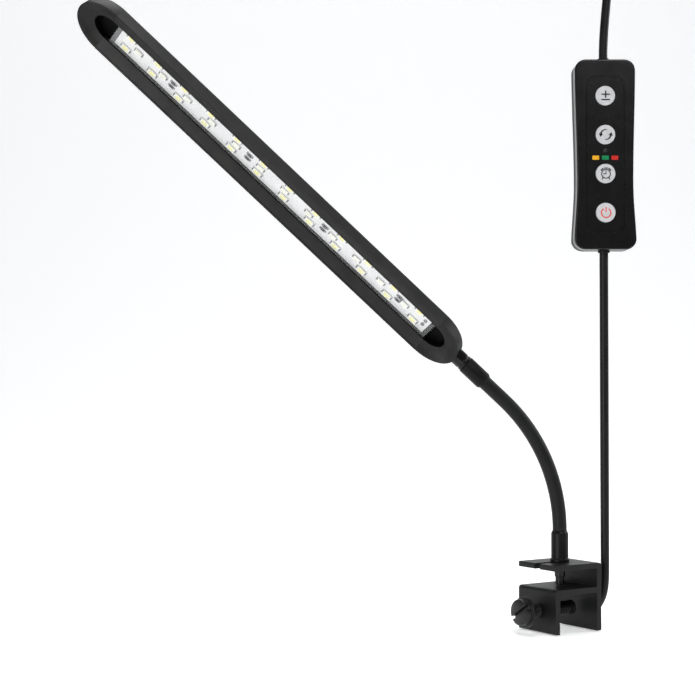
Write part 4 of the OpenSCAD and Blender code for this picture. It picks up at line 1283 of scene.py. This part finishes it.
key_white = plain_finish(
    "moulded_white_key", "#b9b9bb", "#c4c4c6", (0.32, 0.42), **{"IOR": 1.5, "Coat Weight": 0.1}
)
sign_black = plain_finish("black_key_print", "#1c1c20", "#242428", (0.4, 0.5))
sign_red = plain_finish("red_key_print", "#c8463f", "#d4544b", (0.4, 0.5))
toward_us = box_place.z
PRINT_T = 0.04 * MM


def bar(x0, y0, x1, y1, width):
    """Rails of a straight stroke between two points, square at its ends."""
    ends = np.array([(x0, y0), (x1, y1)])
    side = width / 2 * unit([y0 - y1, x1 - x0])
    return ends - side, ends + side


def arc(radius, a0, a1, w0, w1, y=0.0, steps=24):
    """Rails of a round stroke from bearing a0 to a1 in degrees, w0 wide there and w1 at a1."""
    a = np.radians(np.linspace(a0, a1, steps))
    half = np.linspace(w0, w1, steps)[:, None] / 2
    ray = np.stack([np.cos(a), np.sin(a)], axis=-1)
    return (radius + half) * ray + [0, y], (radius - half) * ray + [0, y]


def arrow(radius, bearing, size):
    """Rails of an arrowhead at a bearing on a circle, pointing anticlockwise along it."""
    a = math.radians(bearing)
    ray, on = np.array([math.cos(a), math.sin(a)]), np.array([-math.sin(a), math.cos(a)])
    tip = radius * ray + size * on
    half = 0.62 * size
    return np.array([(radius + half) * ray, tip]), np.array([(radius - half) * ray, tip])


SIGNS = {
    "dim": [
        bar(-2.5, 0.75, 2.5, 0.75, 0.75), bar(0, -1.3, 0, 2.9, 0.8),
        bar(-2.5, -2.35, 2.5, -2.35, 0.8),
    ],
    "mode": [
        arc(2.85, 78, 172, 0.35, 1.1), arrow(2.85, 170, 2.0),
        arc(2.85, 258, 352, 0.35, 1.1), arrow(2.85, 350, 2.0),
    ],
    "timer": [
        arc(2.5, 0, 360, 0.6, 0.6, -0.2, 49), bar(0, -0.4, 0, 1.7, 0.5), bar(0, -0.2, -1.6, -0.2, 0.5),
        arc(3.4, 116, 148, 0.8, 0.8, -0.2, 8), arc(3.4, 32, 64, 0.8, 0.8, -0.2, 8),
        bar(-1.3, 3.1, 1.3, 3.1, 0.6), bar(-1.7, -2.4, -2.3, -3.4, 0.6), bar(1.7, -2.4, 2.3, -3.4, 0.6),
    ],
    "power": [arc(2.7, 120, 420, 0.7, 0.7, -0.2, 48), bar(0, 0.2, 0, 3.2, 0.7)],
}


def printed(name, strokes, place):
    """Signs standing PRINT_T proud of the place's origin and as far into it, one mesh.

    Each stroke is drawn between two rails of points in mm."""
    meshes = []
    for left, right in strokes:
        section = np.stack([left, right, right, left], axis=1) * MM
        z = np.broadcast_to(PRINT_T * np.array([-1, -1, 1, 1])[:, None], (len(left), 4, 1))
        closed = np.allclose(left[0], left[-1])
        meshes.append(
            grid_mesh(name, place.world(np.concatenate([section, z], axis=-1)), ends=not closed)
        )
    return joined(name, *meshes)


for key_name in SIGNS:
    node = f"button_{key_name}"
    cad_piece(f"{key_name}_cap", node, key_white, f"{key_name}_key", "button_white", 0.45, 4)
    key_centre = middle(node)
    top = reach(node, toward_us) - key_centre.dot(toward_us)
    face_place = Place(key_centre + top * toward_us, view_right, Z)
    add_piece(
        f"{key_name}_sign",
        printed(f"{key_name}_sign", SIGNS[key_name], face_place),
        sign_red if key_name == "power" else sign_black,
        f"{key_name}_key",
        "button_white",
    )

for node, dark, light, slot_name in (
    ("status_lamp", "#2c2c2e", "#38383a", "lamp_smoke"),
    ("timer_lamp_amber", "#d89b22", "#e6ab30", "lamp_amber"),
    ("timer_lamp_green", "#167347", "#1f8654", "lamp_green"),
    ("timer_lamp_red", "#b82823", "#c4332c", "lamp_red"),
):
    tint = plain_finish(f"tinted_{slot_name}", dark, light, (0.2, 0.3), **{"IOR": 1.49})
    cad_piece(f"{node}_pipe", node, tint, "root", slot_name, 0.35, 3)
